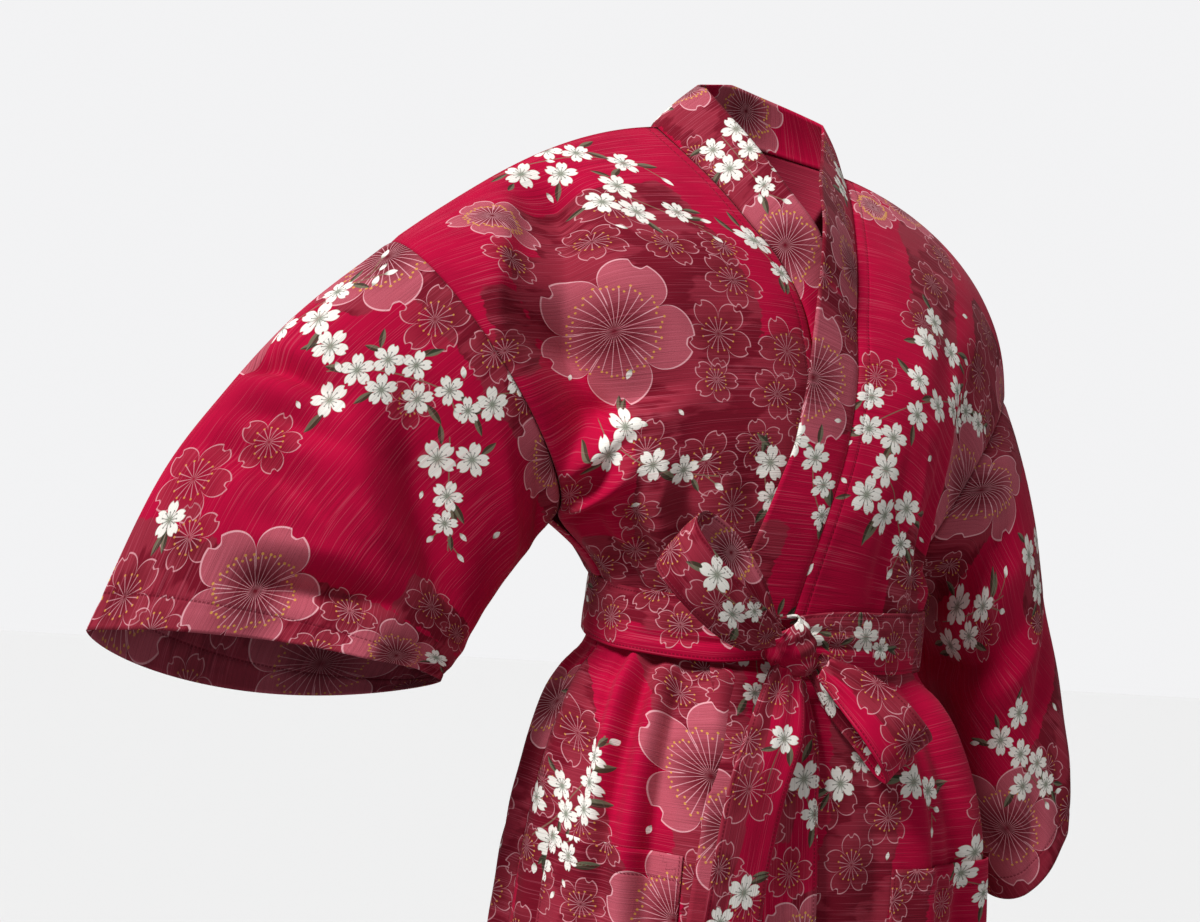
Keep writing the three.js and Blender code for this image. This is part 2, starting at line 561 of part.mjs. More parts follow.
// The belt: its turn round the waist, its loops, ends and knot.
{
  const round = steps(0, 2 * Math.PI, BELT_STEPS).slice(0, -1);
  const BELT_OUT = 6, BELT_FLARE = 2;
  const levels = [-BELT / 2, 0, BELT / 2];
  const r = ring(BELT_Z);
  const points = grid(round, levels, (a, h) => {
    const front = smooth((Math.cos(a) + 0.5) / 0.8);
    const out = mix(BELT_OUT, BELT_OUT + LAP + BAND_CLOTH / 2, front);
    const deep = (Math.cos(a) > 0 ? r.front : r.back) + out;
    const flare = h < 0 ? BELT_FLARE : 0;
    return new THREE.Vector3(
      r.x + (r.wide + BELT_OUT + flare) * Math.sin(a),
      r.y - (deep + flare) * Math.cos(a),
      BELT_Z + h - BELT_DIP * front);
  });
  add('belt_wrap', wall(points, gridNormals(points, true), BELT_CLOTH, true), DEEP);
}

// A ribbon: its centre line and half width at each row of a table, laid flat between.
function ribbon(rows, count, thick = BELT_CLOTH, across = [-1, 0, 1]) {
  const last = rows.length - 1;
  const table = rows.map((row, i) => ({ t: i / last, at: row.at, half: row.half }));
  const points = grid(across, steps(0, 1, count), (u, t) => column(table, 't', 'at', t)
    .addScaledVector(column(table, 't', 'half', t), u));
  return wall(points, gridNormals(points), thick);
}

// knot: the belt wound once round itself, a short flattened roll
{
  const KNOT = { x: -24, y: -167.9, z: -398, wide: 21, deep: 11, tall: 21, tilt: 0.5 };
  const points = grid(steps(0, 2 * Math.PI, 20).slice(0, -1), steps(-1, 1, 6), (a, h) => {
    const bulge = 1 - 0.22 * h * h;
    const x = KNOT.wide * bulge * Math.sin(a), z = KNOT.tall * h;
    return new THREE.Vector3(
      KNOT.x + x * Math.cos(KNOT.tilt) - z * Math.sin(KNOT.tilt),
      KNOT.y - KNOT.deep * bulge * Math.cos(a),
      KNOT.z + x * Math.sin(KNOT.tilt) + z * Math.cos(KNOT.tilt));
  });
  add('belt_knot', wall(points, gridNormals(points, true), BELT_CLOTH, true), WINE);
}
add('belt_loop_upper', ribbon([
  { at: [-49.2, -169, -386], half: [8, 0, 13] },
  { at: [-76, -167, -366], half: [12, -1, 19] },
  { at: [-108, -163, -344], half: [14, -2, 20] },
  { at: [-136, -168, -324], half: [14, -2, 19] },
  { at: [-143, -182, -322], half: [14, -3, 18] },
  { at: [-130, -194, -334], half: [15, -3, 19] },
  { at: [-98, -197, -358], half: [14, -2, 20] },
  { at: [-68, -191, -378], half: [10, -1, 17] },
  { at: [-49.2, -178, -387.5], half: [7, 0, 11] },
], 26), WINE);
add('belt_loop_lower', ribbon([
  { at: [0.4, -174.5, -408.6], half: [8, 0, 11] },
  { at: [22, -185, -430], half: [13, -2, 17] },
  { at: [42, -197, -450], half: [16, -3, 18] },
  { at: [60, -205, -470], half: [17, -3, 18] },
  { at: [63, -217, -474], half: [17, -3, 18] },
  { at: [50, -228, -462], half: [17, -2, 18] },
  { at: [30, -222, -440], half: [15, -2, 17] },
  { at: [13, -204, -422], half: [11, -1, 14] },
  { at: [0.4, -184, -410], half: [7, 0, 9] },
], 26), WINE);
add('belt_tail_front', ribbon([
  { at: [-31, -178.6, -420], half: [17, 0, -6] },
  { at: [-52, -207, -455], half: [24, -1, -5] },
  { at: [-74, -224, -505], half: [25, 0, -3] },
  { at: [-84, -228, -590], half: [25, 0, 0] },
  { at: [-86, -230, -680], half: [25, 0, 1] },
  { at: [-84, -231, -760], half: [25, 0, 0] },
], 18), WINE);
add('belt_tail_back', ribbon([
  { at: [-27, -173, -424.6], half: [14, 0, 5] },
  { at: [-30, -194, -470], half: [24, 0, 4] },
  { at: [-32, -209, -530], half: [25, 0, 3] },
  { at: [-28, -217, -620], half: [25, -1, 1] },
  { at: [-26, -220, -720], half: [25, -1, 0] },
], 18), DEEP);

export default group;
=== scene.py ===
import math

import bpy
import numpy as np
from mathutils import Matrix, Vector


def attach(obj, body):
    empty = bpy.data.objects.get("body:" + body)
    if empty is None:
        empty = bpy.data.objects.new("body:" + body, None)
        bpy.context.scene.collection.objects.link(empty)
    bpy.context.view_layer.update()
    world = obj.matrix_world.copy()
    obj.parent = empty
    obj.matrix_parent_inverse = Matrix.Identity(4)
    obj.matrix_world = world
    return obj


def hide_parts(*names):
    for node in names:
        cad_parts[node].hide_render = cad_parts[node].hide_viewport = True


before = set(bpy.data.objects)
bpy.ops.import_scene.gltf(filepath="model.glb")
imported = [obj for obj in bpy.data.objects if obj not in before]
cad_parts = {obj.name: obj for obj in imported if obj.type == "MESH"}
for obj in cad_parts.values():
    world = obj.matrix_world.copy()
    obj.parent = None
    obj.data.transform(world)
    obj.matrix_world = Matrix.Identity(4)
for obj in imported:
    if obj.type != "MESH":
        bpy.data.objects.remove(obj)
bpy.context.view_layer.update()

# A worn kimono robe of slubbed cotton with a cherry blossom print: left front over right, a tie
# belt in a bow, two patch pockets. Sizes are millimetres until a mesh is made.
MM = 0.001
RIGHT, LEFT = -1, 1
# Camera and light
# The photograph's camera, one strong light from its left, two weak ones and a room that is
# bright to the camera and dim to the cloth.
PHOTO_WIDE = 1200
FOCAL_PX = 2360.0                 # the photograph's focal length, in its pixels
CAMERA_AWAY = 2000.0
CAMERA_TURN = math.radians(30)    # seen from the wearer's right
CAMERA_HIGH = -222.0
YAW, PITCH, ROLL = math.atan(130 / FOCAL_PX), math.atan(61 / FOCAL_PX), math.radians(6.5)

side_way = Vector((math.cos(CAMERA_TURN), -math.sin(CAMERA_TURN), 0))
ahead = Vector((math.sin(CAMERA_TURN), math.cos(CAMERA_TURN), 0))
upward = Vector((0, 0, 1))
look = ahead * math.cos(YAW) - side_way * math.sin(YAW)
level = side_way * math.cos(YAW) + ahead * math.sin(YAW)
aim = look * math.cos(PITCH) - upward * math.sin(PITCH)
rise = upward * math.cos(PITCH) + look * math.sin(PITCH)
cam_x = level * math.cos(ROLL) + rise * math.sin(ROLL)
cam_y = rise * math.cos(ROLL) - level * math.sin(ROLL)
camera = bpy.data.objects.new("camera", bpy.data.cameras.new("camera"))
camera.data.sensor_width = 36.0
camera.data.lens = FOCAL_PX / PHOTO_WIDE * 36.0
camera.data.clip_end = 50
place = -ahead * CAMERA_AWAY * MM + upward * CAMERA_HIGH * MM
camera.matrix_world = Matrix.Translation(place) @ Matrix((cam_x, cam_y, -aim)).transposed().to_4x4()
bpy.context.scene.collection.objects.link(camera)
bpy.context.scene.camera = camera


def add_sun(name, way, strength, soft):
    """Soft parallel light that travels along a way; soft is the width of its source in degrees."""
    lamp = bpy.data.lights.new(name, "SUN")
    lamp.energy, lamp.angle = strength, math.radians(soft)
    obj = bpy.data.objects.new(name, lamp)
    obj.rotation_euler = Vector(way).to_track_quat("-Z", "Y").to_euler()
    bpy.context.scene.collection.objects.link(obj)


# The key light comes from the photo's left and above, and is small enough to model the folds.
add_sun("key", (2.0, 0.5, -2.1), 3.7, 18)
add_sun("fill", (-1.6, 1.2, -0.5), 0.3, 90)
add_sun("rim", (-0.6, -2.0, -1.4), 0.8, 60)


def node(tree, kind, *inputs, out=0, **settings):
    """One shader node: settings are its properties, inputs its sockets in order, None to skip."""
    made = tree.nodes.new("ShaderNode" + kind)
    for key, value in settings.items():
        setattr(made, key, value)
    for socket, value in zip(made.inputs, inputs):
        if isinstance(value, bpy.types.NodeSocket):
            tree.links.new(value, socket)
        elif value is not None:
            socket.default_value = value
    return made.outputs[out]


ROOM = (0.2, 0.94)      # how bright the room is to the cloth and to the camera
world = bpy.data.worlds.new("studio")
world.use_nodes = True
room = world.node_tree
room.nodes["Background"].inputs[0].default_value = (0.95, 0.95, 0.96, 1)
strength = node(room, "MapRange", node(room, "LightPath"), None, None, *ROOM)
room.links.new(strength, room.nodes["Background"].inputs[1])
bpy.context.scene.world = world
bpy.context.scene.view_settings.view_transform = "Standard"

# Right front
# The wearer's right front, cut in one with its shoulder, sewn to the collar band, sleeve and
# back. It runs on under the left front. All the robe is one cloth: plain-weave cotton with slubs
# along its weft, printed with wine bands, outlined blossoms and sprays of white cherry.


def linear(code):
    """A hex colour as linear RGBA."""
    channels = [int(code[i:i + 2], 16) / 255 for i in (1, 3, 5)]
    return tuple(c / 12.92 if c <= 0.04045 else ((c + 0.055) / 1.055) ** 2.4 for c in channels) + (1,)


CRIMSON, CRIMSON_DEEP = linear("#B80038"), linear("#AC0034")
WINE, WINE_PALE = linear("#66101F"), linear("#8E2A3A")
ROSE, PINK, OUTLINE = linear("#98303F"), linear("#C86474"), linear("#EDB0B8")
GOLD, IVORY, SHADE_GREEN = linear("#D9A04A"), linear("#F6F2EA"), linear("#9FA594")
STAMEN, LEAF, LEAF_PALE = linear("#46443A"), linear("#33392A"), linear("#6A6F58")
STEM = linear("#8A6A58")
THREAD, SLUB, SLUB_DEEP = linear("#5A0218"), linear("#E0788C"), linear("#30040E")
UNPRINTED = linear("#8A4A56")      # the cloth's paler inner side
STITCH = 3.2                       # from one stitch to the next, in mm


def printed_cotton():
    """The printed cloth. Each attribute holds a print motif's own frame: x and y in radii from
    its middle, z its radius in mm. The map "cloth" is the flat cloth, weft along U."""
    material = bpy.data.materials.new("printed_cotton")
    material.use_nodes = True
    tree = material.node_tree
    shader = tree.nodes["Principled BSDF"]

    def op(kind, a, b=0.0, c=0.0):
        """A number worked out from up to three others."""
        return node(tree, "Math", a, b, c, operation=kind)

    def step(a, low, high, reverse=False):
        """0 below low and 1 above high, smooth between; reversed, 1 below low."""
        ends = (1.0, 0.0) if reverse else (0.0, 1.0)
        return node(tree, "MapRange", a, low, high, *ends, interpolation_type="SMOOTHSTEP")

    def paint(under, over, mask, share=None):
        """One colour over another where the mask, or a share of it, is 1."""
        mask = mask if share is None else op("MULTIPLY", mask, share)
        return node(tree, "Mix", mask, None, None, None, None, None, under, over,
                    data_type="RGBA", out=2)

    def noise(scale, detail, way=(1.0, 1.0)):
        """Soft uneven blots on the flat cloth: so many in a mm along it and up it."""
        at = node(tree, "Mapping", cloth, None, None, (way[0] * scale, way[1] * scale, 1.0))
        return node(tree, "TexNoise", at, None, 1.0, detail, noise_dimensions="2D")

    def frame_of(name):
        """A motif's frame: x, y, its radius, the distance from its middle in mm, its angle."""
        vector = node(tree, "Attribute", attribute_name=name, out=1)
        parts = node(tree, "SeparateXYZ", vector).node.outputs
        far = op("MULTIPLY", node(tree, "VectorMath", node(tree, "CombineXYZ", parts[0], parts[1]),
                                  operation="LENGTH", out=1), parts[2])
        return parts[0], parts[1], parts[2], far, op("ARCTAN2", parts[1], parts[0])

    def petals(radius, far, angle, notch, round_off=0.5, valley=0.5):
        """Five notched petals: mm inside their edge, and a wave that is 1 along each middle."""
        wave = op("ABSOLUTE", op("COSINE", op("MULTIPLY", angle, 2.5)))
        edge = op("MULTIPLY_ADD", op("POWER", wave, round_off), 1 - valley, valley)
        edge = op("SUBTRACT", edge, op("MULTIPLY", step(wave, 0.96, 1.0), notch))
        return op("MULTIPLY_ADD", edge, radius, op("MULTIPLY", far, -1.0)), wave

    def stamens(radius, far, angle, count, reach, thick, dot, spread=0.0):
        """Fine rays from the middle and the dots at their ends, which lie a little unevenly."""
        sector = op("FLOOR", op("MULTIPLY_ADD", angle, count / (2 * math.pi), 0.5))
        uneven = node(tree, "TexWhiteNoise", None, sector, noise_dimensions="1D")
        end = op("MULTIPLY", radius, op("MULTIPLY_ADD", uneven, spread, reach - spread / 2))
        spoke = op("ABSOLUTE", op("SINE", op("MULTIPLY", angle, count / 2)))
        aside = op("MULTIPLY", op("MULTIPLY", spoke, far), 2 / count)
        away = op("SUBTRACT", far, end)
        fine = op("DIVIDE", aside, op("MULTIPLY_ADD", op("DIVIDE", far, end), 0.7, 0.3))
        rays = op("MULTIPLY", step(fine, thick * 0.4, thick, True), step(away, -0.6, 0.2, True))
        rays = op("MULTIPLY", rays, step(op("DIVIDE", far, end), 0.02, 0.22))
        spot = op("SQRT", op("ADD", op("MULTIPLY", away, away), op("MULTIPLY", aside, aside)))
        return rays, step(spot, dot * 0.7, dot * 1.1, True)

    cloth = node(tree, "VectorMath", node(tree, "UVMap", uv_map="cloth"), (1 / MM,) * 3,
                 operation="MULTIPLY")

    # Ground: crimson, and wine bands whose edges break up along the weft
    streaks = noise(1.0, 3.0, (0.035, 0.16))
    blots = noise(0.02, 2.0)
    field = node(tree, "SeparateXYZ", node(tree, "Attribute", attribute_name="band", out=1))
    inside = field.node.outputs[1]
    brushed = op("ADD", field, op("MULTIPLY_ADD", streaks, 0.55, op("MULTIPLY", blots, 0.75)))
    band = step(brushed, 1.1, 1.2)
    ground = paint(CRIMSON, CRIMSON_DEEP, step(blots, 0.35, 0.7))
    tone = step(op("MULTIPLY_ADD", blots, 0.7, op("MULTIPLY", streaks, 0.3)), 0.46, 0.54)
    colour = paint(ground, paint(WINE, WINE_PALE, tone), band, 0.84)

    # Outlined blossoms of the bands, one layer over another
    for name in ("mid_low", "mid_high"):
        x, y, radius, far, angle = frame_of(name)
        inner, wave = petals(radius, far, angle, 0.12, 0.5, 0.4)
        body = step(inner, -0.3, 0.3)
        fill = paint(WINE, ROSE, step(op("DIVIDE", far, radius), 0.15, 0.95))
        colour = paint(colour, fill, body, 0.5)
        line = step(op("ABSOLUTE", op("SUBTRACT", inner, 0.5)), 0.25, 0.75, True)
        colour = paint(colour, OUTLINE, line, 0.64)
        rays, dots = stamens(radius, far, angle, 15, 0.46, 0.5, 0.8, 0.1)
        colour = paint(colour, OUTLINE, rays, 0.5)
        colour = paint(colour, GOLD, dots, 0.75)

    # Large blossoms: pale meshed petals, a fan of long stamens, scattered gold dots
    x, y, radius, far, angle = frame_of("large")
    inner, wave = petals(radius, far, angle, 0.1, 0.4)
    body = step(inner, -0.3, 0.3)
    net = node(tree, "Mapping", cloth, None, None, (0.55, 0.55, 1.0))
    net_x = node(tree, "TexWave", net, 1.0, wave_type="BANDS", bands_direction="X", out=1)
    net_y = node(tree, "TexWave", net, 1.0, wave_type="BANDS", bands_direction="Y", out=1)
    petal = paint(PINK, ROSE, step(op("MAXIMUM", net_x, net_y), 0.55, 1.0), 0.7)
    petal = paint(WINE, petal, step(op("DIVIDE", far, radius), 0.1, 0.75))
    colour = paint(colour, petal, body, 0.95)
    between = op("MULTIPLY", step(op("MULTIPLY", wave, far), 0.5, 1.3, True), step(inner, -0.3, 0.3))
    line = op("MAXIMUM", step(op("ABSOLUTE", op("SUBTRACT", inner, 0.5)), 0.4, 0.95, True),
              op("MULTIPLY", between, step(op("DIVIDE", far, radius), 0.3, 0.4)))
    colour = paint(colour, OUTLINE, line, 0.85)
    rays, dots = stamens(radius, far, angle, 28, 0.58, 0.5, 1.1, 0.1)
    turned = op("ADD", angle, math.pi / 28)
    _, more = stamens(radius, far, turned, 28, 0.53, 0.5, 1.0, 0.12)
    colour = paint(colour, OUTLINE, rays, 0.72)
    colour = paint(colour, GOLD, op("MAXIMUM", dots, more), 0.9)

    # Sprays: stems, leaves, loose petals and white blossoms in three layers
    vector = node(tree, "Attribute", attribute_name="stem", out=1)
    across = op("ABSOLUTE", node(tree, "SeparateXYZ", vector))
    colour = paint(colour, STEM, step(across, 0.35, 0.7, True), 0.9)
    for name in ("leaf_low", "leaf_high"):
        x, y, radius, far, angle = frame_of(name)
        lens = op("MULTIPLY_ADD", op("MULTIPLY", x, x), -0.3, op("SUBTRACT", 0.3, op("ABSOLUTE", y)))
        leaf = step(op("MULTIPLY", lens, radius), -0.1, 0.35)
        tint = paint(LEAF, LEAF_PALE, step(y, -0.03, 0.03))
        colour = paint(colour, tint, leaf, 0.92)
    x, y, radius, far, angle = frame_of("petal")
    lens = op("MULTIPLY_ADD", op("MULTIPLY", x, x), -0.5, op("SUBTRACT", 0.5, op("ABSOLUTE", y)))
    petal = step(op("MULTIPLY", lens, radius), -0.1, 0.4)
    colour = paint(colour, paint(SHADE_GREEN, IVORY, step(x, -0.9, -0.1)), petal)
    for name in ("white_low", "white_mid", "white_high"):
        x, y, radius, far, angle = frame_of(name)
        inner, wave = petals(radius, far, angle, 0.13, 0.5, 0.26)
        share = op("DIVIDE", far, radius)
        crease = op("MULTIPLY", step(wave, 0.08, 0.4, True), step(share, 0.25, 0.6))
        white = paint(IVORY, SHADE_GREEN, crease, 0.75)
        white = paint(SHADE_GREEN, white, step(share, 0.05, 0.4))
        white = paint(white, SHADE_GREEN, step(inner, 0.3, 0.9, True), 0.5)
        colour = paint(colour, white, step(inner, -0.2, 0.3))
        rays, dots = stamens(radius, far, angle, 11, 0.46, 0.45, 0.62, 0.12)
        colour = paint(colour, STAMEN, op("MAXIMUM", rays, dots), 0.75)

    # The weave's slubs, the paler unprinted side, and the sewn lines of the map "edge"
    slub = noise(1.0, 1.0, (0.012, 1.1))
    fine = noise(1.0, 2.0, (0.5, 1.7))
    weave = op("MULTIPLY_ADD", slub, 1.0, op("MULTIPLY", fine, 0.35))
    colour = paint(colour, SLUB, step(slub, 0.62, 0.72), 0.2)
    colour = paint(colour, SLUB_DEEP, step(slub, 0.28, 0.4, True), 0.2)
    colour = paint(colour, UNPRINTED, inside, 0.3)
    edge = node(tree, "SeparateXYZ", node(tree, "UVMap", uv_map="edge"))
    aside = op("ABSOLUTE", op("MULTIPLY", edge, 1 / MM))
    run = op("MULTIPLY", edge.node.outputs[1], 1 / MM)
    dash = step(op("FRACT", op("DIVIDE", run, STITCH)), 0.62, 0.7, True)
    sewn = op("MULTIPLY", step(aside, 0.45, 0.9, True), dash)
    colour = paint(colour, THREAD, sewn, 0.6)
    height = op("MULTIPLY_ADD", step(aside, 0.6, 2.2, True), -0.9, weave)
    bump = node(tree, "Bump", 0.5, 0.0005, None, height)
    tree.links.new(colour, shader.inputs["Base Color"])
    tree.links.new(bump, shader.inputs["Normal"])
    shader.inputs["Roughness"].default_value = 0.85
    shader.inputs["Specular IOR Level"].default_value = 0.1
    shader.inputs["Sheen Weight"].default_value = 0.03
    shader.inputs["Sheen Roughness"].default_value = 0.5
    return material


COTTON = printed_cotton()     # a matt face, its slubs catching a little light


def rows(names, *values, **shared):
    """A table: one dict for each row of values under the named columns, and what all share. A
    row may leave out its last columns."""
    return [dict(zip(names.split(), row), **shared) for row in values]


def printed(band, large, spray):
    """A piece's print, in the flat cloth's mm, U along the weft and V up the warp: rectangles of
    the wine bands, large blossoms, and each spray's start, heading in degrees, length and count
    of white blossoms."""
    return dict(band=rows("u u2 v v2", *band), large=rows("u v wide turn", *large),
                spray=rows("u v turn long count", *spray))


PRINT = {}      # by the part that a piece is cut from
PRINT["front_right"] = printed(
    band=[
        (-195, -48, 860, 1015), (-165, -10, 600, 870), (-235, -185, 880, 960), (-340, -245, 0, 600),
        (-185, -118, 0, 620), (-40, 0, 0, 560), (-270, -236, 850, 930), (-220, -165, 600, 700)],
    large=[
        (-172, 878, 64, 200), (-152, 500, 60, 70), (-206, 1000, 34, 15), (-300, 265, 60, 130),
        (-120, 215, 62, 20), (-230, 60, 58, 80), (-30, 60, 50, 190), (-330, 560, 46, 10)],
    spray=[
        (-165, 1066, -5, 125, 9), (-100, 1012, -50, 60, 5), (-196, 800, -48, 110, 10),
        (-318, 430, 38, 120, 9), (-20, 960, -70, 50, 2), (-60, 380, -110, 120, 8),
        (-250, 170, 30, 110, 8), (-110, 60, 60, 90, 6), (-360, 120, 80, 90, 6),
        (-60, 760, -80, 50, 2)])
BLOSSOM, LEAF_LONG, PETAL_LONG = 15.0, 10.0, 4.8
BAND_SOFT = 26                                   # how wide a wine band's edge is
MID_RADIUS, MID_TRIES, STRAYS = (19, 30), 900, 0.02      # blossoms of the wine bands


def smooth(t):
    """A soft step from 0 to 1."""
    t = np.clip(t, 0, 1)
    return t * t * (3 - 2 * t)


def soft_box(row, at):
    """1 inside a table's rectangle and 0 outside it, over a soft edge."""
    found = 1
    for axis, low, high in ((0, "u", "u2"), (1, "v", "v2")):
        found = found * smooth((at[..., axis] - row[low]) / BAND_SOFT + 0.5)
        found = found * smooth((row[high] - at[..., axis]) / BAND_SOFT + 0.5)
    return found


TURN = 6.28      # a whole turn, in radians


def apart(motif, others, share):
    """Whether a motif (u, v, turn, radius) keeps a share of the radii away from the others."""
    return all(math.hypot(motif[0] - o[0], motif[1] - o[1]) > share * (motif[3] + o[3]) for o in others)


def layered(motifs, count):
    """Motifs dealt into layers in which none touch."""
    sets = [[] for _ in range(count)]
    for motif in motifs:
        for layer in sets:
            if apart(motif, layer, 1.02):
                layer.append(motif)
                break
    return sets


def grow_spray(rng, row, found):
    """A curved stem with white blossoms crowding its first part, then twigs with buds; leaves
    stand out between them and a few petals fall near."""
    t = np.linspace(0, 1, 13)
    heading = math.radians(row["turn"]) + rng.uniform(-0.8, 0.8) * t
    run = np.stack([np.cos(heading), np.sin(heading)], -1) * row["long"] / 12
    path = np.array([row["u"], row["v"]]) + np.cumsum(run, 0) - run[0]
    whites = []
    for _ in range(row["count"] * 12):
        if len(whites) == row["count"]:
            break
        k = rng.beta(1.3, 1.9)
        i = int(k * 12)
        size = BLOSSOM * rng.uniform(0.86, 1.08) * (1.04 - 0.3 * k)
        off = rng.choice((-1, 1)) * rng.uniform(0, 24 - 16 * k) * min(1, row["count"] / 5)
        at = path[i] + np.array([-math.sin(heading[i]), math.cos(heading[i])]) * off
        made = (at[0], at[1], rng.uniform(0, TURN), size)
        if apart(made, whites, 0.84):
            whites.append(made)
    found["white"] += whites
    middle = np.mean([w[:2] for w in whites], 0)
    for w in whites + whites[:2]:
        away = math.atan2(w[1] - middle[1], w[0] - middle[0]) + rng.uniform(-0.8, 0.8)
        reach = w[3] + rng.uniform(1, 6)
        found["leaf"].append((w[0] + reach * math.cos(away), w[1] + reach * math.sin(away),
                              away + rng.uniform(-0.6, 0.6), LEAF_LONG * rng.uniform(0.7, 1.1)))
    found["stem"] += [(*path[i], *path[i + 1]) for i in range(12)]
    if row["count"] > 3:
        for side in (-1, 1):
            start = path[9 if side > 0 else 11]
            way = heading[-1] + side * rng.uniform(0.35, 0.8)
            tip = start + np.array([math.cos(way), math.sin(way)]) * rng.uniform(14, 24)
            found["stem"].append((*start, *tip))
            found["petal"].append((*tip, way, PETAL_LONG))
        for _ in range(row["count"] // 2):
            at = middle + rng.uniform(-1, 1, 2) * (row["long"] * 0.5 + 20)
            found["petal"].append((*at, rng.uniform(0, TURN), PETAL_LONG * rng.uniform(0.7, 1.05)))


def lay_print(name, seed, corners):
    """The print on a piece: for each attribute, every face corner's place in the frame of the
    motif nearest that face, from the corners' places on the flat cloth in mm."""
    rng = np.random.default_rng(seed)
    table = PRINT[name]
    low, high = corners.min((0, 1)), corners.max((0, 1))
    found = dict(white=[], leaf=[], petal=[], stem=[])
    for row in table["spray"]:
        grow_spray(rng, row, found)
    large = [(r["u"], r["v"], math.radians(r["turn"]), r["wide"]) for r in table["large"]]
    mids = []
    for _ in range(MID_TRIES):
        at = rng.uniform(low - 10, high + 10)
        motif = (at[0], at[1], rng.uniform(0, TURN), rng.uniform(*MID_RADIUS))
        dense = max(float(soft_box(row, at)) for row in table["band"])
        wanted = dense > 0.5 or rng.uniform() < STRAYS
        if wanted and apart(motif, mids, 0.72) and apart(motif, large, 0.8):
            mids.append(motif)
    sets = dict(zip(("mid_low", "mid_high"), layered(mids, 2)), large=large)
    sets.update(zip(("leaf_low", "leaf_high"), layered(found["leaf"], 2)))
    sets["petal"] = layered(found["petal"], 1)[0]
    sets.update(zip(("white_low", "white_mid", "white_high"), layered(found["white"], 3)))
    centre = corners.mean(1)
    made = {}
    for key, motifs in sets.items():
        best, local = np.full(len(centre), 9.0), np.full(corners.shape[:2] + (3,), (9.0, 9.0, 1.0))
        for u, v, turn, radius in motifs:
            far = np.hypot(centre[:, 0] - u, centre[:, 1] - v) / radius
            hit = (far < best) & (far < 1.1 + 5 / radius)
            best[hit] = far[hit]
            x, y = corners[hit, :, 0] - u, corners[hit, :, 1] - v
            c, s = math.cos(turn) / radius, math.sin(turn) / radius
            local[hit] = np.stack([x * c + y * s, y * c - x * s, np.full_like(x, radius)], -1)
        made[key] = local
    best, local = np.full(len(centre), 9.0), np.full(corners.shape[:2] + (3,), 9.0)
    for u, v, u2, v2 in found["stem"]:
        run = math.hypot(u2 - u, v2 - v)
        c, s = (u2 - u) / run, (v2 - v) / run
        x, y = centre[:, 0] - u, centre[:, 1] - v
        along, aside = x * c + y * s, np.abs(y * c - x * s)
        hit = (aside < best) & (along > -1) & (along < run + 1) & (aside < 6)
        best[hit] = aside[hit]
        local[hit, :, 0] = (corners[hit, :, 1] - v) * c - (corners[hit, :, 0] - u) * s
    made["stem"] = local
    made["band"] = np.zeros(corners.shape[:2] + (3,))
    made["band"][..., 0] = np.max([soft_box(row, corners) for row in table["band"]], 0)
    return made


# Rings up the trunk, loops at the armholes and the collar seam carry every panel.
HEM_Z, CHEST_Z, BELT_TOP_Z = -1000.0, -300.0, -354.0
BAND = 52.0
LAP = 6.0
TRUNK = rows(
    "z x y wide front back", (-1000, 28, -40, 220, 178, 176), (-850, 28, -40, 215, 173, 170),
    (-700, 28, -41, 210, 167, 164), (-583, 27, -42, 203, 160, 156), (-500, 24, -42, 188, 147, 144),
    (-441, 20, -40, 164, 125, 124), (-419, 18, -38, 145, 108, 109), (-384, 18, -38, 142, 105, 107),
    (-354, 17, -37, 145, 108, 109), (-330, 10, -32, 165, 120, 119), (-300, 5, -26, 176, 125, 122))
LEFT_EDGE = rows(
    "z x", (-1000, -100), (-800, -99), (-614, -95), (-470, -80), (-384, -66), (-338, -60),
    (-300, -52))
RIGHT_SEAM = rows(
    "z x", (-1000, 88), (-800, 87), (-614, 82), (-470, 62), (-384, 44), (-338, 28), (-300, 10))
COLLAR = {
    RIGHT: rows(
        "up seam free", (0, (10, -150, -300), (60, -141, -300)),
        (0.25, (5, -141, -240), (50, -130, -226)), (0.5, (-2, -125, -180), (34, -109, -152)),
        (0.62, (-9, -108, -133), (23, -95, -106)), (0.75, (-27, -90, -94), (6, -90, -67)),
        (0.85, (-46, -75, -70), (-14, -71, -36)), (0.93, (-70, -38, -32), (-30, -32, 2)),
        (1, (-93, 25, 10), (-50, 26, 48))),
    LEFT: rows(
        "up seam free", (0, (0, -158, -300), (-52, -153, -300)),
        (0.25, (20, -147, -240), (-31, -151, -235)), (0.5, (33, -130, -180), (-17, -137, -170)),
        (0.62, (40, -109, -139), (-8, -121, -116)), (0.75, (50, -87, -104), (0, -104, -62)),
        (0.85, (60, -62, -70), (22, -56, -24)), (0.93, (78, -18, -32), (50, -8, 4)),
        (1, (93, 25, -6), (72, 34, 36))),
}
ARMHOLE = {
    RIGHT: dict(top=(-326, 0, -117), low=(-175, -20, -319), front=(5, -76, 0), back=(5, 72, 0)),
    LEFT: dict(top=(279, 10, -181), low=(174, -14, -344), front=(-52, -92, 0), back=(-45, 92, 0)),
}
FRONT_DRAPE = {
    RIGHT: rows(
        "up arm mid", (0, (0, -88, 0), (-122, 0, -8)), (0.35, (35, -50, 14), (-115, -8, 0)),
        (0.7, (70, -25, 35), (-95, -12, 8)), (1, (78, 5, 66), (-85, -3, -14))),
    LEFT: rows(
        "up arm mid", (0, (-44, -76, -2), (110, 0, -16)), (0.35, (-45, -45, 20), (105, -8, 0)),
        (0.7, (-50, -28, 60), (90, -12, 0)), (1, (-4, -3, 92), (95, -3, -18))),
}


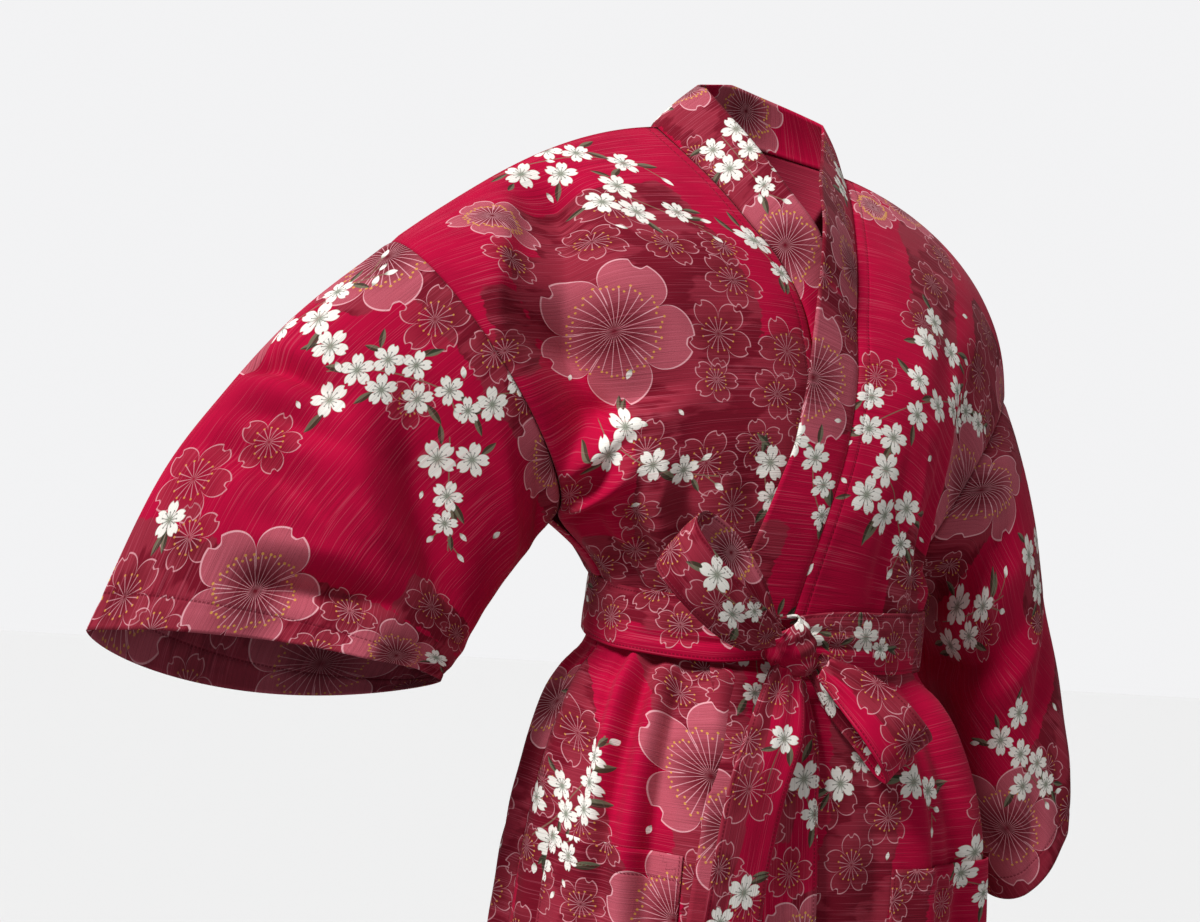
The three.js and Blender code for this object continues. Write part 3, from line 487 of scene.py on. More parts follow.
def column(table, key, name, t):
    """A table's column at every t: a cubic through its rows, flat past both ends."""
    xs = np.array([row[key] for row in table], float)
    ys = np.array([np.atleast_1d(row[name]) for row in table], float)
    t = np.clip(np.atleast_1d(np.asarray(t, float)), xs[0], xs[-1])
    i = np.clip(np.searchsorted(xs, t, side="right") - 1, 0, len(xs) - 2)
    slope = np.empty_like(ys)
    slope[1:-1] = (ys[2:] - ys[:-2]) / (xs[2:] - xs[:-2])[:, None]
    slope[0] = (ys[1] - ys[0]) / (xs[1] - xs[0])
    slope[-1] = (ys[-1] - ys[-2]) / (xs[-1] - xs[-2])
    h = (xs[i + 1] - xs[i])[:, None]
    u = (t - xs[i])[:, None] / h
    found = (ys[i] * (2 * u**3 - 3 * u**2 + 1) + slope[i] * h * (u**3 - 2 * u**2 + u)
             + ys[i + 1] * (3 * u**2 - 2 * u**3) + slope[i + 1] * h * (u**3 - u**2))
    return found if np.ndim(table[0][name]) else found[:, 0]


def curve(a, leave, arrive, b, s):
    """Rows of curves, each leaving a along one handle and reaching b from another."""
    a, leave, arrive, b = (np.asarray(p, float)[:, None, :] for p in (a, leave, arrive, b))
    s = np.asarray(s)[None, :, None]
    r = 1 - s
    return a * r**3 + 3 * (a + leave) * r * r * s + 3 * (b + arrive) * r * s * s + b * s**3


def ring(z):
    """The trunk's centre and half sizes at each level."""
    return {name: column(TRUNK, "z", name, z) for name in ("x", "y", "wide", "front", "back")}


def armhole(side, angle, face):
    """The armhole loop: angle 0 at its top, half a turn at the underarm."""
    row = {k: np.array(v, float) for k, v in ARMHOLE[side].items()}
    c, s = np.cos(angle)[:, None], np.sin(angle)[:, None]
    return (row["top"] + row["low"]) / 2 + (row["top"] - row["low"]) / 2 * c + row[face] * s


def level_of(v):
    """The height of a row: v is 0 at the hem and 1 at the underarm."""
    return HEM_Z + (CHEST_Z - HEM_Z) * v


def underarm_share(v):
    """How far the rows between the belt's top and the underarm have turned into the armhole."""
    return smooth((level_of(v) - BELT_TOP_Z) / (CHEST_Z - BELT_TOP_Z))


def side_seam(side, v):
    """The side seam, from the hem (v 0) to the underarm (v 1)."""
    low = np.array(ARMHOLE[side]["low"], float)
    z = level_of(v)
    above = (z - BELT_TOP_Z) / (CHEST_Z - BELT_TOP_Z)
    z = np.where(z <= BELT_TOP_Z, z, BELT_TOP_Z + (low[2] - BELT_TOP_Z) * above)
    r, end = ring(z), ring(low[2])
    at = np.stack([r["x"] + side * r["wide"], r["y"], z], -1)
    last = np.array([end["x"][0] + side * end["wide"][0], end["y"][0], low[2]])
    return at + underarm_share(v)[:, None] * (low - last)


def collar_edge(side, v, name):
    """The collar seam or the band's free edge, from the hem (v 0) to the neck point (v 2)."""
    v = np.atleast_1d(v)
    z = level_of(np.minimum(v, 1))
    r = ring(z)
    seam = column(LEFT_EDGE, "z", "x", z) + BAND if side == LEFT else column(RIGHT_SEAM, "z", "x", z)
    x = seam if name == "seam" else seam - side * BAND
    angle = np.arcsin(np.clip((x - r["x"]) / r["wide"], -1, 1))
    off = LAP if side == LEFT else 0.0
    low = np.stack([x, r["y"] - (r["front"] + off) * np.cos(angle), z], -1)
    low = low + smooth((z + 380) / 80)[:, None] * (column(COLLAR[side], "up", name, 0) - low)
    return np.where((v >= 1)[:, None], column(COLLAR[side], "up", name, v - 1), low)


def front_panel(side, s, v):
    """One front: v up to 1 at the underarm and 2 at the shoulder, s from the side to the collar."""
    seam = collar_edge(side, v, "seam")
    low = np.minimum(v, 1)
    share = underarm_share(low)[:, None]
    hole = armhole(side, np.pi * (2 - np.maximum(v, 1)), "front")
    edge = np.where((v <= 1)[:, None], side_seam(side, low), hole)
    r = ring(level_of(low))
    angle = side * np.arcsin(np.clip((seam[:, 0] - r["x"]) / r["wide"], -1, 1))
    reach = 4 / 3 * np.tan((np.pi / 2 - angle) / 4)
    lift = (seam[:, 2] - edge[:, 2]) / 3
    flat = np.zeros_like(lift)
    leave = np.stack([flat, -reach * r["front"], flat], -1)
    leave = leave + share * (np.array(FRONT_DRAPE[side][0]["arm"]) - leave)
    arrive = np.stack([side * reach * r["wide"] * np.cos(angle), reach * r["front"] * np.sin(angle),
                       -lift], -1)
    up = (v > 1)[:, None]
    leave = np.where(up, column(FRONT_DRAPE[side], "up", "arm", v - 1), leave)
    arrive = np.where(up, column(FRONT_DRAPE[side], "up", "mid", v - 1), arrive)
    points = curve(edge, leave, arrive, seam, s)
    if side == LEFT:
        lap = smooth(s / 0.3) * (1 - smooth((s - 0.3) / 0.7))
        points[..., 1] -= LAP * lap[None, :] * (1 - smooth((v - 1) / 0.4))[:, None]
    return points


TRUNK_ROWS = np.concatenate([np.linspace(0, 1, 150), np.linspace(1, 2, 91)[1:]])


def ease(points):
    """Rows round the underarm's level averaged with their neighbours, so no crease shows."""
    points = points.copy()
    weight = np.exp(-(((TRUNK_ROWS[1:-1] - 1) / 0.09) ** 2)).reshape((-1,) + (1,) * (points.ndim - 1))
    for _ in range(90):
        points[1:-1] += weight * 0.25 * (points[:-2] - 2 * points[1:-1] + points[2:])
    return points


def normals_of(points, closed=False):
    """The unit normal at every point of a grid; a closed grid's last column repeats its first."""
    if closed:
        wide = np.concatenate([points[:, -2:-1], points[:, :-1], points[:, :1]], 1)
        across, points = (wide[:, 2:] - wide[:, :-2]) / 2, points[:, :-1]
    else:
        across = np.gradient(points, axis=1)
    n = np.cross(across, np.gradient(points, axis=0))
    n = n / np.maximum(np.linalg.norm(n, axis=-1, keepdims=True), 1e-9)
    return np.concatenate([n, n[:, :1]], 1) if closed else n


def spot(s, v, wide, long):
    """Where shares of a panel lie on its cloth, in mm. wide and long are its sizes below and
    above the underarm, v = 1."""
    over = 0.08 * np.logaddexp(0, (v - 1) / 0.08)
    across = s * (wide[0] + (wide[1] - wide[0]) * smooth((v - 0.5) / 0.5))
    return across, long[0] * v + (long[1] - long[0]) * over


def folds(table, s, v, wide, long):
    """Height of a table of folds over a panel: each a ridge or trough from (s, v) to (s2, v2)
    with its half width and height in mm. bow bends it sideways, open widens it along its run,
    lean makes one flank steeper; it grows over its first share and falls over its last."""
    high = np.zeros((len(v), len(s)))
    x, y = spot(s[None, :], v[:, None], wide, long)
    for f in table:
        (x1, y1), (x2, y2) = spot(f["s"], f["v"], wide, long), spot(f["s2"], f["v2"], wide, long)
        ax, ay, px, py = x2 - x1, y2 - y1, x - x1, y - y1
        run = math.hypot(ax, ay)
        share, aside = (px * ax + py * ay) / run**2, (px * ay - py * ax) / run
        near = np.clip(share, 0, 1)
        aside = aside - f.get("bow", 0) * np.sin(np.pi * near)
        spread = f["wide"] * (1 + f.get("open", 0) * near)
        flank = np.abs(aside) / spread * (1 + f.get("lean", 0.25) * np.sign(aside))
        fade = smooth(share / f.get("grow", 0.45)) * smooth((1 - share) / f.get("fall", 0.45))
        high += f["high"] * np.exp(-(flank**1.7)) * fade
    return high


def ripple(s, v, wide, long, seed, size, high):
    """Faint uneven ripples: a seeded sum of long waves in several directions."""
    rng = np.random.default_rng(seed)
    x, y = spot(s[None, :], v[:, None], wide, long)
    total = np.zeros((len(v), len(s)))
    for _ in range(9):
        turn, phase = rng.uniform(0, np.pi), rng.uniform(0, 2 * np.pi)
        length = size * rng.uniform(0.6, 1.8)
        total += np.sin((x * np.cos(turn) + y * np.sin(turn)) * 2 * np.pi / length + phase)
    return high * total / 3


def add_piece(name, points, uv, edge, thick, cut, closed=False):
    """A thin closed shell, thick mm through, on both sides of a grid of points in mm. uv and
    edge are the grid's two maps, in mm, and cut the part of the print it is cut from. A
    closed grid repeats its first column as its last."""
    normals = normals_of(points, closed)
    high, cols = points.shape[:2]
    outer, inner = points + normals * thick / 2, points - normals * thick / 2
    ids = np.arange(high * cols).reshape(high, cols)
    a, b, c, d = ids[:-1, :-1], ids[:-1, 1:], ids[1:, 1:], ids[1:, :-1]
    front = np.stack([a, b, c, d], -1).reshape(-1, 4)
    back = np.stack([a, d, c, b], -1).reshape(-1, 4) + high * cols
    n = high * cols

    def rim(line):
        """Quads that close the wall along one edge of the grid."""
        return np.stack([line[1:], line[:-1], line[:-1] + n, line[1:] + n], -1)

    rims = [rim(ids[0]), rim(ids[-1][::-1])]
    if not closed:
        rims += [rim(ids[:, 0][::-1]), rim(ids[:, -1])]
    faces = np.concatenate([front, back] + rims)
    weld = np.arange(2 * n).reshape(2, high, cols)
    if closed:
        weld[:, :, -1] = weld[:, :, 0]
    corners = faces.reshape(-1)
    kept, welded = np.unique(weld.reshape(-1)[corners], return_inverse=True)
    vertices = (np.concatenate([outer.reshape(-1, 3), inner.reshape(-1, 3)]) * MM)[kept]
    mesh = bpy.data.meshes.new(name)
    mesh.from_pydata(vertices.tolist(), [], welded.reshape(-1, 4).tolist())
    seed = sum(map(ord, name))
    for label, grid, shift in (("cloth", uv, (seed * 37.0, seed * 91.0)), ("edge", edge, (0, 0))):
        layer = mesh.uv_layers.new(name=label)
        both = (np.concatenate([grid.reshape(-1, 2), grid.reshape(-1, 2)]) + shift) * MM
        layer.data.foreach_set("uv", both[corners].reshape(-1))
    flat = np.concatenate([uv.reshape(-1, 2), uv.reshape(-1, 2)])[faces]
    prints = lay_print(cut, seed, flat)
    if cut == "back" or cut.startswith(("front", "sleeve")):
        prints["band"][len(front):len(front) + len(back), :, 1] = 1
    for label, values in prints.items():
        layer = mesh.attributes.new(label, "FLOAT_VECTOR", "CORNER")
        layer.data.foreach_set("vector", values.reshape(-1))
    mesh.shade_smooth()
    mesh.materials.append(COTTON)
    mesh.update()
    obj = bpy.data.objects.new(name, mesh)
    bpy.context.scene.collection.objects.link(obj)
    return obj


def arc(points, axis):
    """Distance travelled along one axis of a grid, in mm."""
    step = np.linalg.norm(np.diff(points, axis=axis), axis=-1)
    zero = np.zeros_like(np.take(step, [0], axis))
    return np.concatenate([zero, np.cumsum(step, axis=axis)], axis)


def climb(points):
    """How far each row of a grid has travelled, in mm: the mean over its columns."""
    return arc(points, 0).mean(axis=1, keepdims=True) * np.ones(points.shape[1])


def settle(piece, nodes):
    """Hang a piece on the robe's root, and hide the parts of the model that it replaces."""
    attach(piece, "root")
    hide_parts(*nodes)


CLOTH = 0.7
FAR = 500.0              # an edge map value far from any sewn line
TOPSTITCH = 10.0         # sewn line on the fronts, beside the collar seam
HEM_TURN = 20.0          # depth of the turned hems
MEAN_WIDE, SHOULDER_HIGH = 320, 360      # half a body's mean width, underarm to shoulder
RIPPLE = (62.0, 0.55)                    # length and height of the faint ripples
PANEL_WIDE, PANEL_LONG = (370.0, 256.0), (720.0, 365.0)


def seam_dip(distance, deep=1.3, wide=4.0):
    """The small valley that a sewn seam pulls into the cloth beside it."""
    return -deep * np.exp(-((distance / wide) ** 2))


# Creases: some fan from the underarm, some rise from the belt, some hang below it.
FRONT_FOLDS = {RIGHT: rows(
    "s v s2 v2 wide high fall bow lean grow open",
    (0.42, 2.03, -0.04, 1.52, 13, 10, 0.25, 0, -0.4, 0.2),
    (0.56, 2.05, 0.12, 1.38, 21, -30, 0.3, 0, -0.35, 0.2, 0.9),
    (0.32, 1.74, 0.2, 1.28, 44, -26, 0.25, 0, -0.2, 0.45),
    (0.68, 1.48, -0.06, 1.285, 22, -23, 0.2, 4, -0.5, 0.4),
    (0.62, 1.43, -0.05, 1.235, 15, 11, 0.25, 4), (0.54, 1.385, -0.05, 1.16, 15, -14, 0.25, 4, 0.2),
    (0.44, 1.3, -0.02, 1.08, 12, 7, 0.2, -4), (0.36, 1.2, -0.02, 1.02, 12, -7, 0.2, -5),
    (0.74, 1.98, 0.5, 1.64, 24, -4), (0.6, 1.7, 0.86, 1.36, 26, -6, 0.45, 8)) + rows(
    "s s2 v2 wide high bow", (0.34, 0.36, 1.34, 11, -6, 4), (0.43, 0.46, 1.44, 11, 6, 5),
    (0.53, 0.56, 1.4, 11, -7, 4), (0.65, 0.69, 1.36, 13, 5), (0.77, 0.8, 1.3, 12, -5, -4),
    (0.23, 0.2, 1.16, 10, -5), (0.12, 0.08, 1.1, 10, 4), v=0.88, grow=0.15, fall=0.6) + rows(
    "s s2 v2 wide high open bow", (0.3, 0.37, 0.3, 13, -15, 0.8, 5), (0.36, 0.43, 0.2, 10, 8, 0.9),
    (0.43, 0.5, 0.1, 12, -14, 0.8, -6), (0.23, 0.26, 0.5, 9, 6, 0.5), v=0.86, grow=0.12, fall=0.7) + rows(
    "s v s2 v2 wide high grow fall open", (0.09, 0.86, 0.16, 0, 15, -11, 0.12, 0.6, 0.6),
    (0.17, 0.86, 0.22, 0.45, 9, -6, 0.12, 0.7), (0.03, 0.84, 0.06, 0.1, 15, 8, 0.15, 0.6, 0.6),
    (0.56, 0.86, 0.6, 0.4, 12, 6, 0.12, 0.7, 0.6), (0.66, 0.86, 0.7, 0.2, 12, -7, 0.12, 0.7, 0.6))}


def lay_front(side, columns=96):
    """A front's grid between its side and the collar, with its folds, and its two maps."""
    s = np.linspace(0, 1, columns)
    v = TRUNK_ROWS
    base = ease(front_panel(side, s, v))
    if side == LEFT:
        base = base[:, ::-1]
    normals = normals_of(base)
    order = s if side == RIGHT else s[::-1]
    high = folds(FRONT_FOLDS[side], order, v, PANEL_WIDE, PANEL_LONG)
    high += ripple(order, v, PANEL_WIDE, PANEL_LONG, 11 + side, *RIPPLE)
    fade = smooth(order / 0.15)[None, :] * smooth((1 - order) / 0.08)[None, :]
    fade = fade * smooth((2 - v) / 0.1)[:, None]
    from_side, from_collar = order * MEAN_WIDE, (1 - order) * MEAN_WIDE
    high = high * fade + seam_dip(from_side)[None, :] + seam_dip(from_collar)[None, :]
    high += seam_dip((2 - v) * SHOULDER_HIGH)[:, None] * 0.5
    high += seam_dip(from_collar - TOPSTITCH, 0.5, 2.5)[None, :]
    points = base + normals * high[..., None]
    run = arc(base, 1)
    run = run[:, -1:] - run if side == RIGHT else -run
    rise = climb(base)
    uv = np.stack([-run, rise], -1)
    collar = np.abs(run)
    hem = rise - HEM_TURN
    sewn = np.where(collar < np.abs(hem) + TOPSTITCH, collar - TOPSTITCH, hem)
    edge = np.stack([sewn, rise + collar], -1)
    return points, normals, uv, edge


right_points, right_normals, right_uv, right_edge = lay_front(RIGHT)
front_right = add_piece("cloth_front_right", right_points, right_uv, right_edge, CLOTH, "front_right")
settle(front_right, ["front_right"])

# Left front
# The wearer's left front laps over the right one; its long soft folds fall from the shoulder
# into the belt and open out below it.
PRINT["front_left"] = printed(
    band=[
        (52, 112, 880, 1060), (140, 232, 770, 990), (85, 150, 590, 720), (42, 112, 0, 590),
        (268, 340, 0, 620), (165, 200, 0, 330)],
    large=[
        (66, 1046, 38, 40), (182, 815, 58, 100), (24, 1010, 26, 10), (235, 540, 46, 25),
        (70, 330, 60, 150), (215, 200, 60, 60), (60, 70, 52, 0), (320, 330, 55, 95),
        (240, 950, 46, 50)],
    spray=[
        (14, 772, 40, 205, 15), (38, 738, -25, 75, 6), (62, 880, 30, 70, 4), (110, 520, -35, 70, 4),
        (205, 440, 20, 50, 3), (50, 500, 60, 50, 2), (120, 300, -60, 120, 8),
        (300, 160, 110, 110, 8), (120, 100, 20, 80, 6), (320, 760, 70, 100, 7)])
FRONT_FOLDS[LEFT] = rows(
    "s v s2 v2 wide high bow", (0.4, 1.8, 0.02, 1.3, 24, -9, 8), (0.2, 1.6, -0.02, 1.12, 14, 6, 5),
    (0.66, 1.95, 0.4, 1.4, 30, -5, 6)) + rows(
    "s s2 v2 wide high bow", (0.3, 0.4, 1.7, 14, 7, -8), (0.42, 0.5, 1.55, 12, -6, -6),
    (0.56, 0.64, 1.5, 13, 5, -4), (0.7, 0.76, 1.45, 12, -5), (0.16, 0.18, 1.4, 12, -7), v=0.88,
    grow=0.12, fall=0.7) + rows(
    "s v s2 v2 wide high grow fall", (0.05, 0.88, 0.04, 1.15, 10, 4, 0.12, 0.6)) + rows(
    "s s2 v2 wide high open bow", (0.46, 0.3, 0.1, 19, 13, 0.6, -8),
    (0.56, 0.48, 0.15, 11, -9, 0.6), (0.2, 0.1, 0, 15, -11, 0.7), (0.32, 0.22, 0.3, 10, -8, 0.7),
    (0.7, 0.68, 0.2, 11, 7, 0.7), (0.62, 0.6, 0.4, 9, -5, 0.6), (0.84, 0.84, 0.3, 10, -5, 0.6),
    v=0.86, grow=0.12, fall=0.6) + rows(
    "s v s2 v2 wide high open grow fall", (0.06, 0.84, 0.02, 0.3, 12, 6, 0.6, 0.12, 0.6))
left_points, left_normals, left_uv, left_edge = lay_front(LEFT)
front_left = add_piece("cloth_front_left", left_points, left_uv, left_edge, CLOTH, "front_left")
settle(front_left, ["front_left"])

# Back
# One body back without a centre seam, sewn to both fronts at the shoulders and sides. It
# blouses a little over the belt and falls in soft flutes below it.
PRINT["back"] = printed(
    band=[
        (-345, -225, 0, 640), (-95, 35, 0, 700), (165, 300, 0, 560), (-250, -120, 700, 1020),
        (60, 180, 620, 1030), (250, 350, 700, 960)],
    large=[
        (239, 536, 46, 20), (-40, 880, 62, 60), (-210, 760, 60, 140), (170, 820, 60, 10),
        (-110, 560, 58, 100), (70, 400, 62, 170), (-280, 330, 60, 50), (290, 270, 58, 80),
        (-20, 140, 60, 30), (-190, 90, 55, 120), (190, 80, 60, 0), (-320, 930, 50, 90)],
    spray=[
        (-170, 960, -30, 150, 11), (60, 990, -60, 130, 9), (-330, 820, -60, 120, 8),
        (250, 880, -120, 120, 8), (-10, 720, -20, 140, 10), (-220, 600, -70, 110, 8),
        (250, 560, 60, 90, 6), (-350, 480, -50, 120, 8), (150, 480, -40, 120, 9),
        (-60, 330, -80, 120, 8), (-210, 240, -30, 110, 8), (110, 230, 20, 120, 8),
        (330, 120, 100, 110, 7), (-330, 130, -60, 100, 7)])
NECK_SHARE = 0.3
NAPE = dict(seam=(0, 88, 18), free=(4, 80, 64))
BACK_DRAPE = {
    RIGHT: rows(
        "up arm mid", (0, (0, 78, 0), (-110, 0, -8)), (0.4, (40, 40, 16), (-120, 0, 0)),
        (0.75, (75, 20, 40), (-110, 0, 0)), (1, (80, 8, 62), (-90, 0, -10))),
    LEFT: rows(
        "up arm mid", (0, (-38, 72, -2), (104, 0, -16)), (0.4, (-40, 36, 24), (115, 0, 0)),
        (0.75, (-45, 20, 60), (105, 0, 0)), (1, (-6, 5, 88), (95, 0, -16))),
}
CENTRE_BACK = rows(
    "up at", (0, (5, 96, -300)), (0.3, (3, 106, -205)), (0.6, (1, 108, -110)), (0.85, (0, 98, -35)),
    (1, NAPE["seam"]))
BACK_FOLDS = {
    RIGHT: rows(
        "s v s2 v2 wide high bow", (0.04, 1.75, 0.34, 1.1, 26, -11, 14),
        (0.02, 1.5, 0.2, 0.95, 15, 7, 8)) + rows(
        "s s2 v2 wide high bow", (0.26, 0.2, 1.6, 13, -9, 6), (0.38, 0.4, 1.5, 11, 7),
        (0.52, 0.58, 1.5, 12, -8, 4), (0.66, 0.68, 1.35, 9, 5), (0.78, 0.82, 1.5, 12, -7),
        (0.91, 0.93, 1.3, 9, 5), v=0.88, grow=0.1, fall=0.6) + rows(
        "s s2 v2 wide high open", (0.12, 0.06, 0.1, 13, 8, 0.6), (0.3, 0.24, 0, 16, -13, 0.6),
        (0.45, 0.4, 0.1, 11, 8, 0.7), (0.62, 0.6, -0.1, 15, -12, 0.6),
        (0.75, 0.77, 0.3, 10, 6, 0.5), (0.87, 0.89, 0.1, 12, -9, 0.4), v=0.86, grow=0.12, fall=0.5),
    LEFT: rows(
        "s v s2 v2 wide high bow", (0.06, 1.7, 0.28, 1.15, 24, -10, -8)) + rows(
        "s s2 v2 wide high", (0.14, 0.08, 1.5, 13, -8), (0.3, 0.26, 1.45, 10, 7),
        (0.45, 0.5, 1.55, 12, -8), (0.6, 0.6, 1.3, 9, 5), (0.74, 0.72, 1.45, 11, -7),
        (0.9, 0.88, 1.4, 9, 4), v=0.88, grow=0.1, fall=0.6) + rows(
        "s s2 v2 wide high open", (0.22, 0.3, -0.1, 16, -12, 0.5), (0.38, 0.42, 0.2, 10, 8, 0.6),
        (0.55, 0.5, 0.05, 14, -13, 0.6), (0.8, 0.76, -0.1, 13, -9, 0.7),
        (0.68, 0.64, 0.3, 9, 6, 0.6), v=0.86, grow=0.12, fall=0.5),
}


def neck_edge(side, t, name):
    """The neck seam or the band's upper edge, from a neck point (t 0) to the nape (t 1)."""
    start, end = collar_edge(side, 2.0, name)[0], np.array(NAPE[name], float)
    t = np.atleast_1d(t)
    turn = t * np.pi / 2
    x = end[0] + (start[0] - end[0]) * np.maximum(np.cos(turn), 0) ** 0.85
    y = start[1] + (end[1] - start[1]) * np.sin(turn)
    return np.stack([x, y, start[2] + (end[2] - start[2]) * t], -1)


def back_half(side, s, v):
    """Half the back: s from the side to the centre, where both halves meet."""
    low = np.minimum(v, 1)
    edge = side_seam(side, low)
    z = level_of(low)
    r = ring(z)
    reach = 4 / 3 * math.tan(math.pi / 8)
    flat = np.zeros_like(z)
    leave = np.stack([flat, reach * r["back"], flat], -1)
    leave = leave + underarm_share(low)[:, None] * (np.array(BACK_DRAPE[side][0]["arm"]) - leave)
    arrive = np.stack([side * reach * r["wide"], flat, -(z - edge[:, 2]) / 3], -1)
    below = curve(edge, leave, arrive, np.stack([r["x"], r["y"] + r["back"], z], -1), s)

    def across(up):
        """Rows of the upper back, from the armhole to the centre."""
        return curve(armhole(side, np.pi * (1 - up), "back"), column(BACK_DRAPE[side], "up", "arm", up),
                     column(BACK_DRAPE[side], "up", "mid", up), column(CENTRE_BACK, "up", "at", up), s)

    up = np.maximum(v - 1, 0)
    shoulder = 1 - NECK_SHARE
    one = np.ones(1)
    seam = curve(armhole(side, 0 * one, "front"), column(FRONT_DRAPE[side], "up", "arm", one),
                 column(FRONT_DRAPE[side], "up", "mid", one), collar_edge(side, 2.0, "seam"),
                 np.clip(s / shoulder, 0, 1))[0]
    neck = neck_edge(side, np.clip((s - shoulder) / NECK_SHARE, 0, 1), "seam")
    top = np.where((s <= shoulder)[:, None], seam, neck)
    above = across(up) + (up**3)[:, None, None] * (top - across(one)[0])[None]
    return np.where((v <= 1)[:, None, None], below, above)


v = TRUNK_ROWS
s_half = np.concatenate([np.linspace(0, 1 - NECK_SHARE, 68), np.linspace(1 - NECK_SHARE, 1, 26)[1:]])
halves, heights = [], []
for side in (LEFT, RIGHT):
    base = ease(back_half(side, s_half, v))
    high = folds(BACK_FOLDS[side], s_half, v, PANEL_WIDE, PANEL_LONG)
    waves = ripple(s_half, v, PANEL_WIDE, PANEL_LONG, 31 + side, *RIPPLE)
    high += waves * smooth((1 - s_half) / 0.1)
    high *= smooth(s_half / 0.08)[None, :] * smooth((2 - v) / 0.1)[:, None]
    high += seam_dip(s_half * MEAN_WIDE)[None, :] + seam_dip((2 - v) * SHOULDER_HIGH)[:, None] * 0.5
    halves.append(base if side == LEFT else base[:, ::-1][:, 1:])
    heights.append(high if side == LEFT else high[:, ::-1][:, 1:])
base = np.concatenate(halves, 1)
back_points = base + normals_of(base) * np.concatenate(heights, 1)[..., None]
across = arc(base, 1)
across = across - across[:, [len(s_half) - 1]]
rise = climb(base)
back = add_piece("cloth_back", back_points, np.stack([across, rise], -1),
                 np.stack([rise - HEM_TURN, across], -1), CLOTH, "back")
settle(back, ["back"])

# Sleeves
# Wide straight sleeves, each a folded width of cotton sewn under the arm and set into the
# dropped armhole, with a 20 mm turned hem. The right one hangs from a raised elbow.
PRINT["sleeve_right"] = printed(
    band=[
        (-58, 4, -640, 4), (-300, -262, -640, 4), (-110, -58, -290, -215), (-262, -225, -50, 4),
        (-170, -120, -560, -400)],
    large=[
        (-34, -112, 50, 190), (-272, -18, 50, 80), (-12, -235, 46, 20), (-290, -235, 44, 60),
        (-30, -400, 60, 40), (-230, -430, 58, 110), (-30, -570, 50, 0), (-190, -590, 55, 140)],
    spray=[
        (-190, -62, 226, 120, 13), (-196, -4, 205, 70, 5), (-216, -166, -50, 90, 7),
        (-264, -160, 215, 40, 3), (-66, -30, 20, 8, 1), (-36, -272, 40, 10, 1),
        (-160, -360, -60, 120, 9), (-80, -520, 100, 100, 7), (-230, -520, -80, 90, 6)])
PRINT["sleeve_left"] = printed(
    band=[
        (-4, 98, -5, 640), (262, 320, -5, 640), (150, 200, 430, 520)],
    large=[
        (62, 300, 58, 130), (296, 452, 52, 50), (20, 420, 46, 10), (280, 300, 44, 70),
        (50, 90, 60, 30), (220, 120, 58, 100), (60, 560, 55, 0), (270, 600, 50, 45)],
    spray=[
        (246, 340, 105, 70, 5), (136, 350, 190, 90, 7), (190, 460, 100, 70, 5),
        (190, 180, 120, 110, 8), (110, 40, 60, 100, 7), (150, 560, -20, 90, 6)])
SLEEVE = {
    RIGHT: rows(
        "t top low front back sharp",
        (0.28, (-396, 2, -183), (-205, -30, -358), (4, -64, 4), (4, 66, -4), 1),
        (0.5, (-446, 2, -247), (-232, -40, -396), (4, -58, 8), (2, 62, -8), 1.05),
        (0.72, (-490, 2, -318), (-250, -50, -428), (2, -52, 14), (0, 56, -16), 1.2),
        (1, (-534, 0, -436), (-270, -60, -452), (0, -44, 16), (-4, 46, -34), 1.5)),
    LEFT: rows(
        "t top low front back sharp",
        (0.1, (290, 10, -210), (193, -17, -359), (-36, -92, 0), (-33, 92, 0), 1),
        (0.28, (304, 8, -262), (208, -22, -425), (-20, -92, 0), (-18, 88, 0), 1),
        (0.5, (318, 6, -325), (226, -34, -490), (-8, -84, -6), (-6, 80, 4), 1),
        (0.75, (340, 4, -395), (252, -52, -555), (2, -76, -16), (2, 72, 10), 1.1),
        (1, (350, 0, -462), (266, -74, -612), (10, -62, -24), (4, 66, 20), 1.3)),
}
for side, table in SLEEVE.items():
    table.insert(0, dict(t=0, sharp=1, **ARMHOLE[side]))
SLEEVE_ROUND, SLEEVE_LONG = (560.0, 560.0), (370.0, 370.0)
